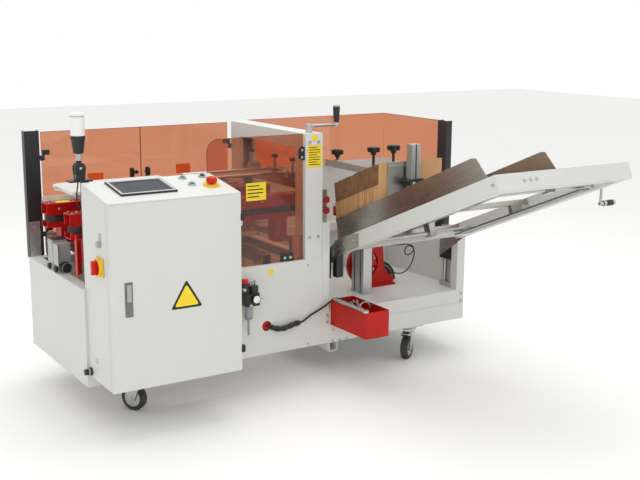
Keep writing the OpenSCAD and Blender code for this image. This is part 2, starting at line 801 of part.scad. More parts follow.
// rear door: sheet, hinge leaves and a pull; side is +1 when hinged at low X
module rear_door(x0, x1, side) {
    hx = side > 0 ? leaf_xs[0] : leaf_xs[1];
    pull_x = side > 0 ? x1 - 46 : x0 + 22;
    difference() {
        translate([x0, door_y, door_z0]) cube([x1 - x0, guard_t, door_z1 - door_z0]);
        // the edge beyond the hinge line is notched clear of the fixed leaves
        if (side > 0) for (z = leaf_zs)
            translate([x0 - 1, door_y - 1, z - 23]) cube([hx - x0 + 4, guard_t + 2, 23]);
    }
    for (z = leaf_zs) difference() {
        union() {
            cyl_z(hx, door_y - 8, z - 1 + gap, 5, 20);
            translate([side > 0 ? hx : hx - 26, door_y - 8 + 3, z - 1 + gap]) cube([26, 5, 20]);
        }
        cyl_z(hx, door_y - 8, z - 3, 2.5 + run_c, 30);
    }
    for (dz = [-14, 14]) cyl_y(pull_x + 12, door_y + guard_t, pull_z + dz, 4, 12);
    translate([pull_x + 4, door_y + guard_t + 12, pull_z - 20]) cube([16, 6, 40]);
}

door_mid = 499;
door_lip = 6;                 // sheet beyond the left hinge line
door_c = 0.8;                 // half the gap between the doors
module rear_door_left() at_home() color(amber) rear_door(leaf_xs[0] - door_lip, door_mid - door_c, 1);
module rear_door_right() at_home() color(amber) rear_door(door_mid + door_c, leaf_xs[1] - 2.4, -1);

// folding signal lamp: fork eye, neck, base and lens
module lamp_head() at_home() color(black) translate([lamp_at[0], lamp_at[1], lamp_pivot_z]) {
    difference() {
        union() {
            cyl_y(0, -6 + gap, 0, 18, 12 - 2 * gap);
            translate([-8, -6 + gap, 0]) cube([16, 12 - 2 * gap, 40]);
            cyl_z(0, 0, 26, 10, 26);
        }
        cyl_y(0, -10, 0, 5 + run_c, 20);
    }
    translate([0, 0, 52]) cylinder(r1 = 17, r2 = lamp_r, h = 50);
    translate([0, 0, 102]) cylinder(r = lamp_r + 1, h = 12);
    translate([0, 0, 114]) cylinder(r = lamp_r, h = 79);
    translate([0, 0, 193]) cylinder(r = lamp_r - 4, h = 3);
}

// ---------------------------------------------------------------- air unit, tray, cables

module frl_unit() at_home() color(black) {
    y = -36;
    difference() {
        union() {
            translate([frl_x - 24, y - 22, frl_z - 30]) cube([56, 44, 50]);
            translate([frl_x - 24, y + 22, frl_z - 10]) cube([56, -y - 22, 8]);
            cyl_z(frl_x + 16, y, frl_z + 20, 19, 26);
            cyl_z(frl_x - 6, y, frl_z - 80, 16, 50);
            cyl_z(frl_x - 6, y, frl_z - 150, 4, 70);
            translate([frl_x - 34, y - 12, frl_z + 20]) cube([26, 24, 40]);
        }
        cyl_x(frl_x + 18, y, frl_z - 6, 6.6, 20);
        cyl_z(frl_x - 21, y, frl_z + 10, 7 + run_c, 60);
    }
}

// sliding shut-off sleeve on top of the air unit
module slide_valve() at_home() color(red) {
    cyl_z(frl_x - 21, -36, frl_z + 30, 7, 38);
    cyl_z(frl_x - 21, -36, frl_z + 60 + gap, 13, 16);
}

module tool_tray() at_home() color(red) {
    t = 2;
    difference() {
        translate([tray_at[0], sheet - tray_size[1], tray_at[1]]) cube(tray_size);
        translate([tray_at[0] + t, sheet - tray_size[1] + t, tray_at[1] + t])
            cube([tray_size[0] - 2 * t, tray_size[1] - 2 * t, tray_size[2]]);
    }
}

// tube swept along hand-placed points: a ring of sides at each one
function unit(v) = v / norm(v);
function heading(p, i) = unit(p[min(i + 1, len(p) - 1)] - p[max(i - 1, 0)]);
function side_of(d) = unit(cross(d, abs(d[2]) < 0.9 ? [0, 0, 1] : [1, 0, 0]));
function ring_at(p, i, r, n) = let (d = heading(p, i), a = side_of(d), b = cross(d, a))
    [for (k = [0:n - 1]) p[i] + r * (cos(360 * k / n) * a + sin(360 * k / n) * b)];

module sweep(p, r, n) {
    m = len(p);
    pts = [for (i = [0:m - 1]) each ring_at(p, i, r, n)];
    faces = concat(
        [[for (k = [0:n - 1]) k]],
        [for (i = [0:m - 2], k = [0:n - 1])
            [i * n + k, (i + 1) * n + k, (i + 1) * n + (k + 1) % n, i * n + (k + 1) % n]],
        [[for (k = [n - 1:-1:0]) (m - 1) * n + k]]);
    polyhedron(points = pts, faces = faces, convexity = 6);
}

// routes of the cables, in the machine's working frame
front_route = [
    [740, 12, 118], [750, 3, 116], [762, -6, 112], [782, -12, 104], [804, -16, 101], [826, -17, 103], [848, -17, 108],
    [868, -16, 112], [888, -14, 113], [908, -12, 116], [926, -10, 124], [946, -8, 134],
    [968, -7, 143], [990, -8, 152], [1010, -12, 163], [1027, -17, 176], [1040, -23, 188],
    [1052, -31, 195], [1064, -40, 194], [1073, -49, 183], [1079.5, -58, 160], [1083, -68, 130],
    [1085, -78, 104], [1086, -88, 83.3]
];
loop_route = [
    [1352, 191.4, 341], [1376, 164, 347], [1404, 128, 352], [1437.9, 86, 355.8], [1473.8, 52.2, 360.9],
    [1495.6, 40.4, 353], [1497.6, 34.1, 336.2], [1485.5, 33.1, 324], [1469.5, 34.1, 317.7],
    [1456.1, 34, 322.4], [1450.1, 34, 335.9], [1455.8, 35, 350.1], [1470, 37, 356.2], [1486, 42, 354],
    [1502, 50, 346], [1520, 62, 330], [1536, 78, 310], [1548, 98, 286], [1558, 120, 260], [1566, 146, 234],
    [1572, 174, 210], [1576, 204, 192], [1580, 234, 180], [1583, 262, 174], [1585, 285, 172],
    [1585.7, 307.4, 172]
];
front_cable_r = 4;
loop_cable_r = 2.5;

module front_cable() at_home() color(black) sweep(front_route, front_cable_r, 8);
module magazine_cable() at_home() color(black) sweep(loop_route, loop_cable_r, 8);

// ---------------------------------------------------------------- head and portal screw

module head_beam() at_home() color(steel) {
    difference() {
        union() {
            translate([mid_col_x - head_w / 2, head_y0, head_z])
                cube([head_w, head_y1 - head_y0, head_h]);
            // nut block inside the front column
            translate([mid_col_x - 18, head_y0, head_z - 12]) cube([36, 34, head_h + 24]);
        }
        cyl_z(mid_col_x, screw_y, head_z - 20, head_screw_d / 2 + run_c, head_h + 40);
    }
    // upright rods with clamp blocks
    for (y = [150, guide_y, 500]) {
        translate([mid_col_x - 26, y - 14, head_z + head_h]) cube([52, 28, 26]);
        cyl_z(mid_col_x - 12, y, head_z + head_h + 26, 6, 50);
        cyl_z(mid_col_x - 12, y, head_z + head_h + 70, 13, 12);
    }
    // top guide over the cartons, with rounded ends
    translate([8, guide_y, head_z + head_h + 5]) linear_extrude(10) stadium(col_x + 14 - 8, 30);
    translate([col_x - 30, guide_y - 12, head_z + head_h + 5]) cube([60, 24, 10]);
    // side rods that press the flaps
    for (y = [guide_y - 70, guide_y + 70]) {
        cyl_x(560, y, head_z + head_h + 14, 7, mid_col_x - 26 - 560 + 26);
        translate([mid_col_x - 12, min(y, guide_y), head_z + head_h]) cube([24, 70, 22]);
    }
}

module head_crank() at_home() color(zinc) {
    top = portal_h + gap;
    cyl_z(mid_col_x, screw_y, base_h + 10, head_screw_d / 2, top - base_h - 10 + 12);
    cyl_z(mid_col_x, screw_y, top, 14, 34);
    cyl_x(mid_col_x, screw_y, top + 26, 6, 130);
    cyl_z(mid_col_x + 130, screw_y, top + 20, 8, 14);
    translate([mid_col_x + 130, screw_y, top + 34]) cylinder(r1 = 10, r2 = 14, h = 68);
}

// ---------------------------------------------------------------- bed, tape head, drives

module bed_plates() at_home() color(steel) {
    // two cross bars on the base rails
    for (x = [220, 740]) tube_y(x, bed_y0, base_h, 40, frame_y1 - bed_y0, 40);
    // strips that carry the carton, on short posts
    for (s = [-1, 1]) {
        y = tape_y + s * (bed_gap / 2 + bed_strip_w / 2);
        translate([70, y - bed_strip_w / 2, bed_z - 8]) cube([bay_l - 90, bed_strip_w, 8]);
        for (x = [240, 760]) cyl_z(x, y, base_h + 40 + gap, 10, bed_z - 8 - base_h - 40 - gap);
    }
    // guide rods of the side drives, in end blocks on the rails
    for (x = rod_xs) {
        cyl_y(x, bed_y0, rod_z, guide_rod_d / 2, frame_y1 - 8 - bed_y0);
        for (y = [bed_y0, frame_y1 - 34])
            translate([x - 22, y, base_h]) cube([44, 26, rod_z + 22 - base_h]);
    }
}

module tape_head() at_home() color(steel) {
    for (s = [-1, 1]) {
        y = tape_y + s * (tape_plate_gap / 2) - (s > 0 ? 0 : head_plate_t);
        difference() {
            translate([arm_xs[0] - 40, y, arm_z - 60])
                cube([arm_xs[1] - arm_xs[0] + 80, head_plate_t, 84]);
            for (x = arm_xs) cyl_y(x, y - 1, arm_z, 6 + run_c, head_plate_t + 2);
        }
        // leg down to the roll's bracket
        translate([tape_x - 30, y, tape_z - 30]) cube([60, head_plate_t, arm_z - 30 - tape_z]);
    }
    // spacers and the roll's spindle
    for (x = [arm_xs[0] + 60, arm_xs[1] - 60])
        cyl_y(x, tape_y - tape_plate_gap / 2, arm_z - 20, 6, tape_plate_gap);
    cyl_y(tape_x, tape_y - tape_plate_gap / 2, tape_z, 10, tape_plate_gap);
    // hangers from the cross bars
    for (x = [260, 700]) {
        hx = x < tape_x ? x : arm_xs[1] + 40;
        l = x < tape_x ? arm_xs[0] - 40 - x : 740 - hx;
        translate([hx, tape_y - tape_plate_gap / 2 - head_plate_t, base_h + 6])
            cube([l, tape_plate_gap + 2 * head_plate_t, 10]);
    }
}

module tape_roll() at_home() color([0.8, 0.72, 0.5]) {
    difference() {
        cyl_y(tape_x, tape_y - tape_w / 2, tape_z, roll_r, tape_w);
        cyl_y(tape_x, tape_y - tape_w, tape_z, 10 + run_c, 2 * tape_w);
    }
}

// roller arm of the tape head, sprung upwards; dir points to its roller
module tape_arm(x, dir) {
    w = tape_plate_gap - 8;
    tip = [x + dir * 55, arm_z + 48];
    cyl_y(x, tape_y - tape_plate_gap / 2 - head_plate_t, arm_z, 6,
        tape_plate_gap + 2 * head_plate_t);
    difference() {
        translate([0, tape_y + w / 2, 0]) rotate([90, 0, 0]) linear_extrude(w) hull() {
            translate([x, arm_z]) circle(r = 12, $fn = 32);
            translate(tip) circle(r = 10, $fn = 32);
        }
        cyl_y(tip[0], tape_y - w / 2 + 4, tip[1], arm_roller_r + 3, w - 8);
    }
    cyl_y(tip[0], tape_y - w / 2 + 5, tip[1], arm_roller_r, w - 10);
    cyl_y(tip[0], tape_y - w / 2, tip[1], 5, w);
}

module tape_arm_front() at_home() color(red) tape_arm(arm_xs[0], -1);
module tape_arm_rear() at_home() color(red) tape_arm(arm_xs[1], 1);

// side drive: two facing channels on a spine, belt, idler, motor and its two carriers
module side_drive(y) {
    mid = y + drive_w / 2;
    l = drive_x1 - drive_x0;
    top = drive_z + drive_h;
    difference() {
        union() {
            difference() {
                translate([drive_x0, y + edge, top - channel_h])
                    cube([l, drive_w - 2 * edge, channel_h]);
                translate([drive_x0 - eps, y + edge + wall, top - channel_h - eps])
                    cube([l + 2 * eps, drive_w - 2 * (edge + wall), channel_h - wall + eps]);
            }
            difference() {
                translate([drive_x0, y + edge, drive_z])
                    cube([l, drive_w - 2 * edge, low_channel_h]);
                translate([drive_x0 - eps, y + edge + wall, drive_z + wall])
                    cube([l + 2 * eps, drive_w - 2 * (edge + wall), low_channel_h]);
            }
            translate([roller_x0 + 60, mid - 14, drive_z + wall])
                cube([roller_x1 - roller_x0 - 120, 28, drive_h - 2 * wall]);
            // slider bed inside the belt
            translate([roller_x0 + 45, mid - roller_r - gap, belt_z0])
                cube([roller_x1 - roller_x0 - 90, 2 * (roller_r + gap), belt_h]);
        }
        for (x = [roller_x0, roller_x1]) cyl_z(x, mid, drive_z - 1, 6 + run_c, drive_h + 2);
    }
    // belt round both rollers
    translate([roller_x0 - roller_r - belt_t, mid, belt_z0]) linear_extrude(belt_h) difference() {
        stadium(roller_x1 - roller_x0 + 2 * (roller_r + belt_t), roller_r + belt_t);
        translate([belt_t - gap, 0])
            stadium(roller_x1 - roller_x0 + 2 * (roller_r + gap), roller_r + gap);
    }
    // idler
    cyl_z(roller_x1, mid, belt_z0, roller_r, belt_h);
    cyl_z(roller_x1, mid, drive_z, 6, drive_h);
    // motor on the top channel, clear of the top guide
    translate([roller_x0 + 150, mid - 30, top]) cube([110, 60, 12]);
    // carriers on the guide rods
    for (x = rod_xs) difference() {
        translate([x - 26, y + 4, rod_z - 22]) cube([52, drive_w - 8, drive_z - rod_z + 22]);
        cyl_y(x, y, rod_z, guide_rod_d / 2 + run_c, drive_w);
    }
}

module side_drive_front() at_home() color(red) side_drive(drive_y_front);
module side_drive_rear() at_home() color(red) side_drive(drive_y_rear);

module drive_roller(y) {
    mid = y + drive_w / 2;
    cyl_z(roller_x0, mid, belt_z0, roller_r, belt_h);
    cyl_z(roller_x0, mid, drive_z, 6, drive_h + 6);
}

module roller_front() at_home() color(zinc) drive_roller(drive_y_front);
module roller_rear() at_home() color(zinc) drive_roller(drive_y_rear);

// gear motor with its cover, on the left end of the base
module drive_gearbox() at_home() color([0.62, 0.63, 0.62]) {
    translate([6, drive_y_rear - 62, base_h]) cube([56, 62, 118]);
    translate([6, drive_y_rear - 100, base_h + 34]) cube([56, 38, 76]);
    cyl_y(36, drive_y_rear - 128, base_h + 20, 20, 66);
}

// ---------------------------------------------------------------- magazine

module magazine_frame() at_home() color(white) on_slope() {
    difference() {
        union() {
            for (x = [mag_x, rail_in1]) slope_box(x, 0, 0, [rail_w, mag_l, rail_h]);
            slope_box(mag_x, mag_l - 40, 0, [mag_w, 40, rail_h]);
            slope_box(rail_in0 - eps, 60, 0, [rail_in1 - rail_in0 + 2 * eps, 30, 30]);
        }
        for (x = [mag_x, rail_in1])
            slope_box(x + wall, -eps, wall, [rail_w - 2 * wall, mag_l - 80, rail_h - 2 * wall]);
        translate([0, -screw_s, screw_n]) cyl_x(rail_in0 - wall - eps, 0, 0,
            width_screw_d / 2 + run_c, mag_w);
    }
}

// stainless left guide, rail end plates, bed strips on cross bars and the lower slide rod
module magazine_steelwork() at_home() color(steel) {
    on_slope() {
        // left guide: a plate on the rail with a bent foot
        rotate([90, 0, 90]) translate([0, 0, rail_in0 - guide_t]) linear_extrude(guide_t)
            polygon([
                [-guide_s0, rail_h], [-guide_s0, rail_h + guide_h],
                [-guide_l + 60, rail_h + guide_h], [-guide_l + 40, rail_h + guide_h - 6],
                [-guide_l, rail_h]
            ]);
        slope_box(mag_x + 8, guide_s0, rail_h, [rail_in0 - mag_x - 8, guide_l - guide_s0 - 20, guide_t]);
        // cross bars and strips of the bed
        for (s = [20, 470, 930]) slope_box(rail_in0, s, bed_n - strip_t - bar_w,
            [rail_in1 - rail_in0, bar_w, bar_w]);
        for (x = [blank_x + 40, pusher_x - 12, blank_x + blank_w - 60])
            slope_box(x, stack_s0 - 4, bed_n - strip_t, [24, mag_l - 44 - stack_s0, strip_t]);
        // lower slide rod of the right guide
        translate([0, -slide_s, screw_n]) cyl_x(rail_in0, 0, 0, rod_d / 2, rail_in1 - rail_in0);
        // cover of the shaft under the magazine
        slope_box(rail_in1 - 92, 110, 2, [56, mag_l - 150 - 100, 4]);
        slope_box(rail_in1 - 92, 470, 6, [56, bar_w, bed_n - strip_t - bar_w - 6]);
    }
    // end plates that tie the rails to the lift blocks
    for (x = [mag_x - end_t, mag_x1]) rotate([90, 0, 90]) translate([0, 0, x]) linear_extrude(end_t)
        polygon([
            [lift_ys[1] + 18, lift_block_z + 6], [lift_ys[1] + 18, lift_block_z + lift_block_h - 6],
            [mag_y + 12, mag_z + 66], [mag_y - 118, mag_z + 106],
            [mag_y - 118, mag_z + 50], [mag_y - 4, mag_z]
        ]);
}

// rods that the magazine rises on, with feet and caps, and the column beside them
module lift_guides() at_home() color(zinc) {
    for (x = lift_xs) {
        for (y = lift_ys) cyl_z(x, y, floor_z, lift_rod_d / 2, lift_top - floor_z);
        translate([x - 16, lift_ys[0] - 17, floor_z])
            cube([32, lift_ys[1] - lift_ys[0] + 34, 22]);
        translate([x - 15, lift_ys[0] - 15, lift_top])
            cube([30, lift_ys[1] - lift_ys[0] + 30, 8]);
    }
    // slotted aluminium column
    translate([column_at[0], column_at[1], floor_z]) difference() {
        cube([45, 90, 205]);
        for (y = [22.5, 67.5], x = [-eps, 45 - 8]) translate([x, y - 4, -eps])
            cube([8 + eps, 8, 206]);
    }
}

module lift_blocks() at_home() color(black) {
    for (x = lift_xs) difference() {
        translate([x - 18, lift_ys[0] - 18, lift_block_z])
            cube([36, lift_ys[1] - lift_ys[0] + 36, lift_block_h]);
        for (y = lift_ys)
            cyl_z(x, y, lift_block_z - 1, lift_rod_d / 2 + run_c, lift_block_h + 2);
    }
}

// point at height h up the edge between two blanks, k edges from the front
function blank_edge(k, h) = let (a = blank_lean * (1 - k / blank_count))
    bed_at(stack_s0 + k * stack_l / blank_count) + h * [sin(a), cos(a)];

// stack of flat blanks, upright at the pusher and leaning more towards the front, each
// bundle a little higher or lower
module carton_blanks() at_home() color(kraft)
    translate([blank_x, 0, 0]) rotate([90, 0, 90]) linear_extrude(blank_w) polygon(concat(
        [blank_edge(0, 0), blank_edge(blank_count, 0)],
        [for (i = [blank_count - 1:-1:0]) for (k = [i + 1, i])
            blank_edge(k, blank_h + 2 * sin(i * 97))]
    ));

// sliding right guide with its nut block and slide block
module right_guide() at_home() color(steel) on_slope() {
    difference() {
        union() {
            rotate([90, 0, 90]) translate([0, 0, right_guide_x]) linear_extrude(guide_t)
                polygon([
                    [-guide_s0, bed_n + 1], [-guide_s0, bed_n + guide_h],
                    [-guide_l + 60, bed_n + guide_h], [-guide_l + 40, bed_n + guide_h - 6],
                    [-guide_l, bed_n + 1]
                ]);
            for (s = [slide_s, screw_s])
                slope_box(right_guide_x, s - 18, screw_n - 14, [30, 36, bed_n + 30 - screw_n + 14]);
        }
        for (s = [[slide_s, rod_d], [screw_s, width_screw_d]])
            translate([0, -s[0], screw_n])
                cyl_x(right_guide_x - 5, 0, 0, s[1] / 2 + run_c, 60);
    }
}

module width_crank() at_home() color(zinc) on_slope() translate([0, -screw_s, screw_n]) {
    cyl_x(rail_in0 - wall, 0, 0, width_screw_d / 2, crank_x - rail_in0 + wall + 10);
    cyl_x(crank_x, 0, 0, 13, 14);
    translate([crank_x + 6, 0, 0]) rotate([180 + mag_angle, 0, 0]) cyl_z(0, 0, 0, 5, crank_arm);
    rotate([mag_angle, 0, 0]) {
        cyl_x(crank_x, 0, -crank_arm, 7, 20);
        cyl_x(crank_x + 20, 0, -crank_arm, grip_r, grip_l);
    }
}

// pusher: shoe on the bed, plate behind the blanks, upright profile and clamp
module blank_pusher() at_home() color(steel) {
    on_slope() slope_box(pusher_x - 40, pusher_s + 8, bed_n + gap, [80, 120, 12]);
    // upright plate, post and clamp, which stay vertical on the sloping foot
    translate([0, bed_at(pusher_s)[0], bed_at(pusher_s)[1]]) {
        translate([pusher_x - 102, -4, 12]) cube([156, 4, blank_h - 16]);
        difference() {
            translate([pusher_x - 20, -50, 26]) cube([40, 36, blank_h + 42]);
            translate([pusher_x - 4, -50 - eps, 40]) cube([8, 10, blank_h + 30]);
        }
        translate([pusher_x - 30, -14, clamp_z]) cube([60, 10 + eps, 34]);
        translate([pusher_x - 32, -60, clamp_z]) cube([64, 10, 34]);
        for (dx = [-30, 20]) translate([pusher_x + dx, -50, clamp_z + 8]) cube([10, 36, 18]);
    }
}

// ---------------------------------------------------------------- opening gear

// guide bar beside the opened carton, fixed to the rear cover, with knob clamps
module side_guide() at_home() color(steel) {
    translate([bar_x - 4, knob_ys[0] - 14, bar_z]) cube([8, base_d - knob_ys[0] + 14, 30]);
    for (y = knob_ys) difference() {
        translate([bar_x + 4, y - 12, bar_z - 4]) cube([26, 24, 38]);
        cyl_z(bar_x + 17, y, bar_z - 6, 6 + run_c, 60);
    }
}

module star_knob(i) {
    y = knob_ys[i];
    z = knob_zs[i];
    cyl_z(bar_x + 17, y, bar_z + 6, 6, z - bar_z);
    cyl_z(bar_x + 17, y, z - 12, 12, 16);
    translate([bar_x + 17, y, z]) {
        cylinder(r = knob_r - 8, h = knob_h);
        for (a = [0:60:300]) rotate([0, 0, a]) translate([knob_r - 9, 0, 2])
            cylinder(r = 9, h = knob_h - 4, $fn = 24);
    }
}

module star_knob_front() at_home() color(black) star_knob(0);
module star_knob_middle() at_home() color(black) star_knob(1);
module star_knob_back() at_home() color(black) star_knob(2);

// fixed suction plate beside the guide post, with two cups
module suction_plate() at_home() color(zinc) {
    x = bay2_x + 4;
    translate([bay2_x, 70, 430]) cube([4, 18, 70]);
    translate([x, 82, 430]) cube([34, 6, 200]);
    for (z = [545, 590]) {
        cyl_y(x + 20, 62, z, 15, 6);
        cyl_y(x + 20, 68, z, 6, 14);
    }
}

// swinging arm that pulls a blank off the stack and turns it open
module swing_arm() at_home() color(red) {
    px = arm_pivot[0];
    py = arm_pivot[1];
    reach = 250;
    difference() {
        cyl_z(px, py, arm_z0, 28, 60);
        cyl_z(px, py, arm_z0 - 1, 15 + run_c, 62);
    }
    translate([px - 15, py - 96, arm_z0 + 10]) cube([30, 74, 40]);
    translate([px - reach, py - 110, arm_z0 + 10]) cube([reach + 15, 20, 40]);
    for (x = [px - reach + 25, px - 60]) {
        cyl_y(x, py - 118, arm_z0 + 30, 6, 8);
        cyl_y(x, py - 124, arm_z0 + 30, 18, 6);
    }
}

// red bracket with its ring, and the arm's pivot post
module red_bracket() at_home() color(red) {
    cx = 1398;
    cy = 250;
    cz = floor_z + 108;
    difference() {
        union() {
            cyl_y(cx, cy, cz, 95, 16);
            translate([cx - 26, cy, floor_z]) cube([178, 16, 40]);
            rotate([90, 0, 0]) translate([0, 0, -cy - 16]) linear_extrude(16) polygon([
                [cx + 30, floor_z], [cx + 152, floor_z], [cx + 100, floor_z + 85],
                [cx + 92, floor_z + 196], [cx + 60, floor_z + 196], [cx + 56, floor_z + 100]
            ]);
        }
        cyl_y(cx, cy - 1, cz, 66, 18);
    }
    translate([cx - 26, cy - 20, floor_z]) cube([178, 56, 8]);
    // post of the swinging arm, with a collar under it
    translate([arm_pivot[0], arm_pivot[1], floor_z]) {
        cylinder(r = 15, h = arm_z0 - floor_z + 72);
        cylinder(r = 24, h = arm_z0 - floor_z - gap);
    }
}

// cable chain, bent in a quarter circle, with a notch between its links
module drag_chain() at_home() color(black) {
    r0 = 62;
    r1 = 90;
    w = 44;
    translate([chain_at[0] - r1 + 20, chain_at[1], floor_z + 4]) rotate([90, 0, 0])
        difference() {
            union() {
                rotate_extrude(angle = 90) translate([r0, -w / 2]) square([r1 - r0, w]);
                translate([r0, -4, -w / 2]) cube([r1 - r0, 6, w]);
                translate([-24, r0, -w / 2]) cube([26, r1 - r0, w]);
            }
            for (a = [10:12:82]) rotate([0, 0, a]) translate([r1 - 5, -1.5, -w / 2 - 1])
                cube([10, 3, w + 2]);
        }
}

// ---------------------------------------------------------------- drawing

base_frame();
front_panel();
outer_panels();
portal_frame();
plated_fittings();
cabinet_shell();
component_plate();
hmi_panel();
control_bezels();
guard_posts();
amber_guards();
frl_unit();
tool_tray();
front_cable();
magazine_cable();
lift_guides();
red_bracket();
drag_chain();
tape_head();
bed_plates();
side_guide();
suction_plate();
drive_gearbox();
cabinet_door();
door_latch();
isolator_knob();
button_green();
button_blue();
button_black();
estop_head();
rear_door_left();
rear_door_right();
head_beam();
head_crank();
magazine_frame();
magazine_steelwork();
lift_blocks();
carton_blanks();
right_guide();
width_crank();
blank_pusher();
side_drive_front();
side_drive_rear();
roller_front();
roller_rear();
tape_roll();
tape_arm_front();
tape_arm_rear();
swing_arm();
slide_valve();
lamp_head();
star_knob_front();
star_knob_middle();
star_knob_back();
caster_fork_left();
caster_fork_right();
wheel_front_left();
wheel_front_right();
wheel_rear_left();
wheel_rear_right();
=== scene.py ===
"""Dresses the carton erector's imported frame: finishes for every part, and the small pieces on it.

Lengths inside the classes are millimetres from the base's left front bottom corner, X along
the machine, Y away from the operator and Z up. Bench turns them into the frame's metres.
"""

from __future__ import annotations

import logging
import math
import random
from dataclasses import dataclass, field
from enum import Enum
from typing import Any, Callable, Sequence

import bmesh
import bpy
from mathutils import Matrix, Vector

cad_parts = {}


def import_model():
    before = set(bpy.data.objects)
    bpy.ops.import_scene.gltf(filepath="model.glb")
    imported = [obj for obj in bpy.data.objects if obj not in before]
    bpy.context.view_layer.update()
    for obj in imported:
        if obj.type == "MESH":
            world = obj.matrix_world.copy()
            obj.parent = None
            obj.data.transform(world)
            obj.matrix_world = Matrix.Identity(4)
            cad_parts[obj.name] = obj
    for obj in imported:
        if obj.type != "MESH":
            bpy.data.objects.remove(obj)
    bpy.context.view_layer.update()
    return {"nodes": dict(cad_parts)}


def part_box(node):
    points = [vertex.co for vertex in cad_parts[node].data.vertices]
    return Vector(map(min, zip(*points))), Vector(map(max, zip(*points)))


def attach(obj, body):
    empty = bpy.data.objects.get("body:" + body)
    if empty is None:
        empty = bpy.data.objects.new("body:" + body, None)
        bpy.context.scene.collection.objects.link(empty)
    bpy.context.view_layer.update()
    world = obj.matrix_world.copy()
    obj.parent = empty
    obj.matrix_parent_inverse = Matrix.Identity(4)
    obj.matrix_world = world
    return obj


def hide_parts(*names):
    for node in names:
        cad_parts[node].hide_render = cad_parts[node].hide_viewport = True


LOG = logging.getLogger("carton_erector")
Point = Sequence[float]


def linear(code: str) -> tuple[float, float, float, float]:
    """Turns an sRGB hex code into a linear colour.

    Args:
        code: six hex digits with a leading #.

    Returns:
        Linear red, green, blue and an alpha of 1.
    """
    parts = [int(code[i:i + 2], 16) / 255 for i in (1, 3, 5)]
    red, green, blue = (p / 12.92 if p <= 0.04045 else ((p + 0.055) / 1.055) ** 2.4 for p in parts)
    return (red, green, blue, 1.0)


def add_node(tree: bpy.types.NodeTree, kind: str, inputs: dict[Any, Any] | None = None,
             **settings: Any) -> bpy.types.Node:
    """Adds one shader node.

    Args:
        tree: node tree to add to.
        kind: the node's type name.
        inputs: socket name or number, with the value or the output socket that feeds it.
        **settings: attributes of the node.

    Returns:
        The new node.
    """
    made = tree.nodes.new(kind)
    for name, value in settings.items():
        setattr(made, name, value)
    for key, value in (inputs or {}).items():
        if isinstance(value, bpy.types.NodeSocket):
            tree.links.new(value, made.inputs[key])
        else:
            made.inputs[key].default_value = value
    return made


class Surface(Enum):
    """How a finish's surface was made, which sets its pattern."""

    SPRAYED = "powder coat or enamel with orange peel"
    BRUSHED = "drawn by an abrasive belt"
    PLATED = "zinc spangle"
    MOULDED = "spark-eroded mould texture"
    CLEAR = "cast clear sheet"
    BOARD = "kraft liner"
    WOUND = "wound film"
    RIBBED = "moulded ribs"


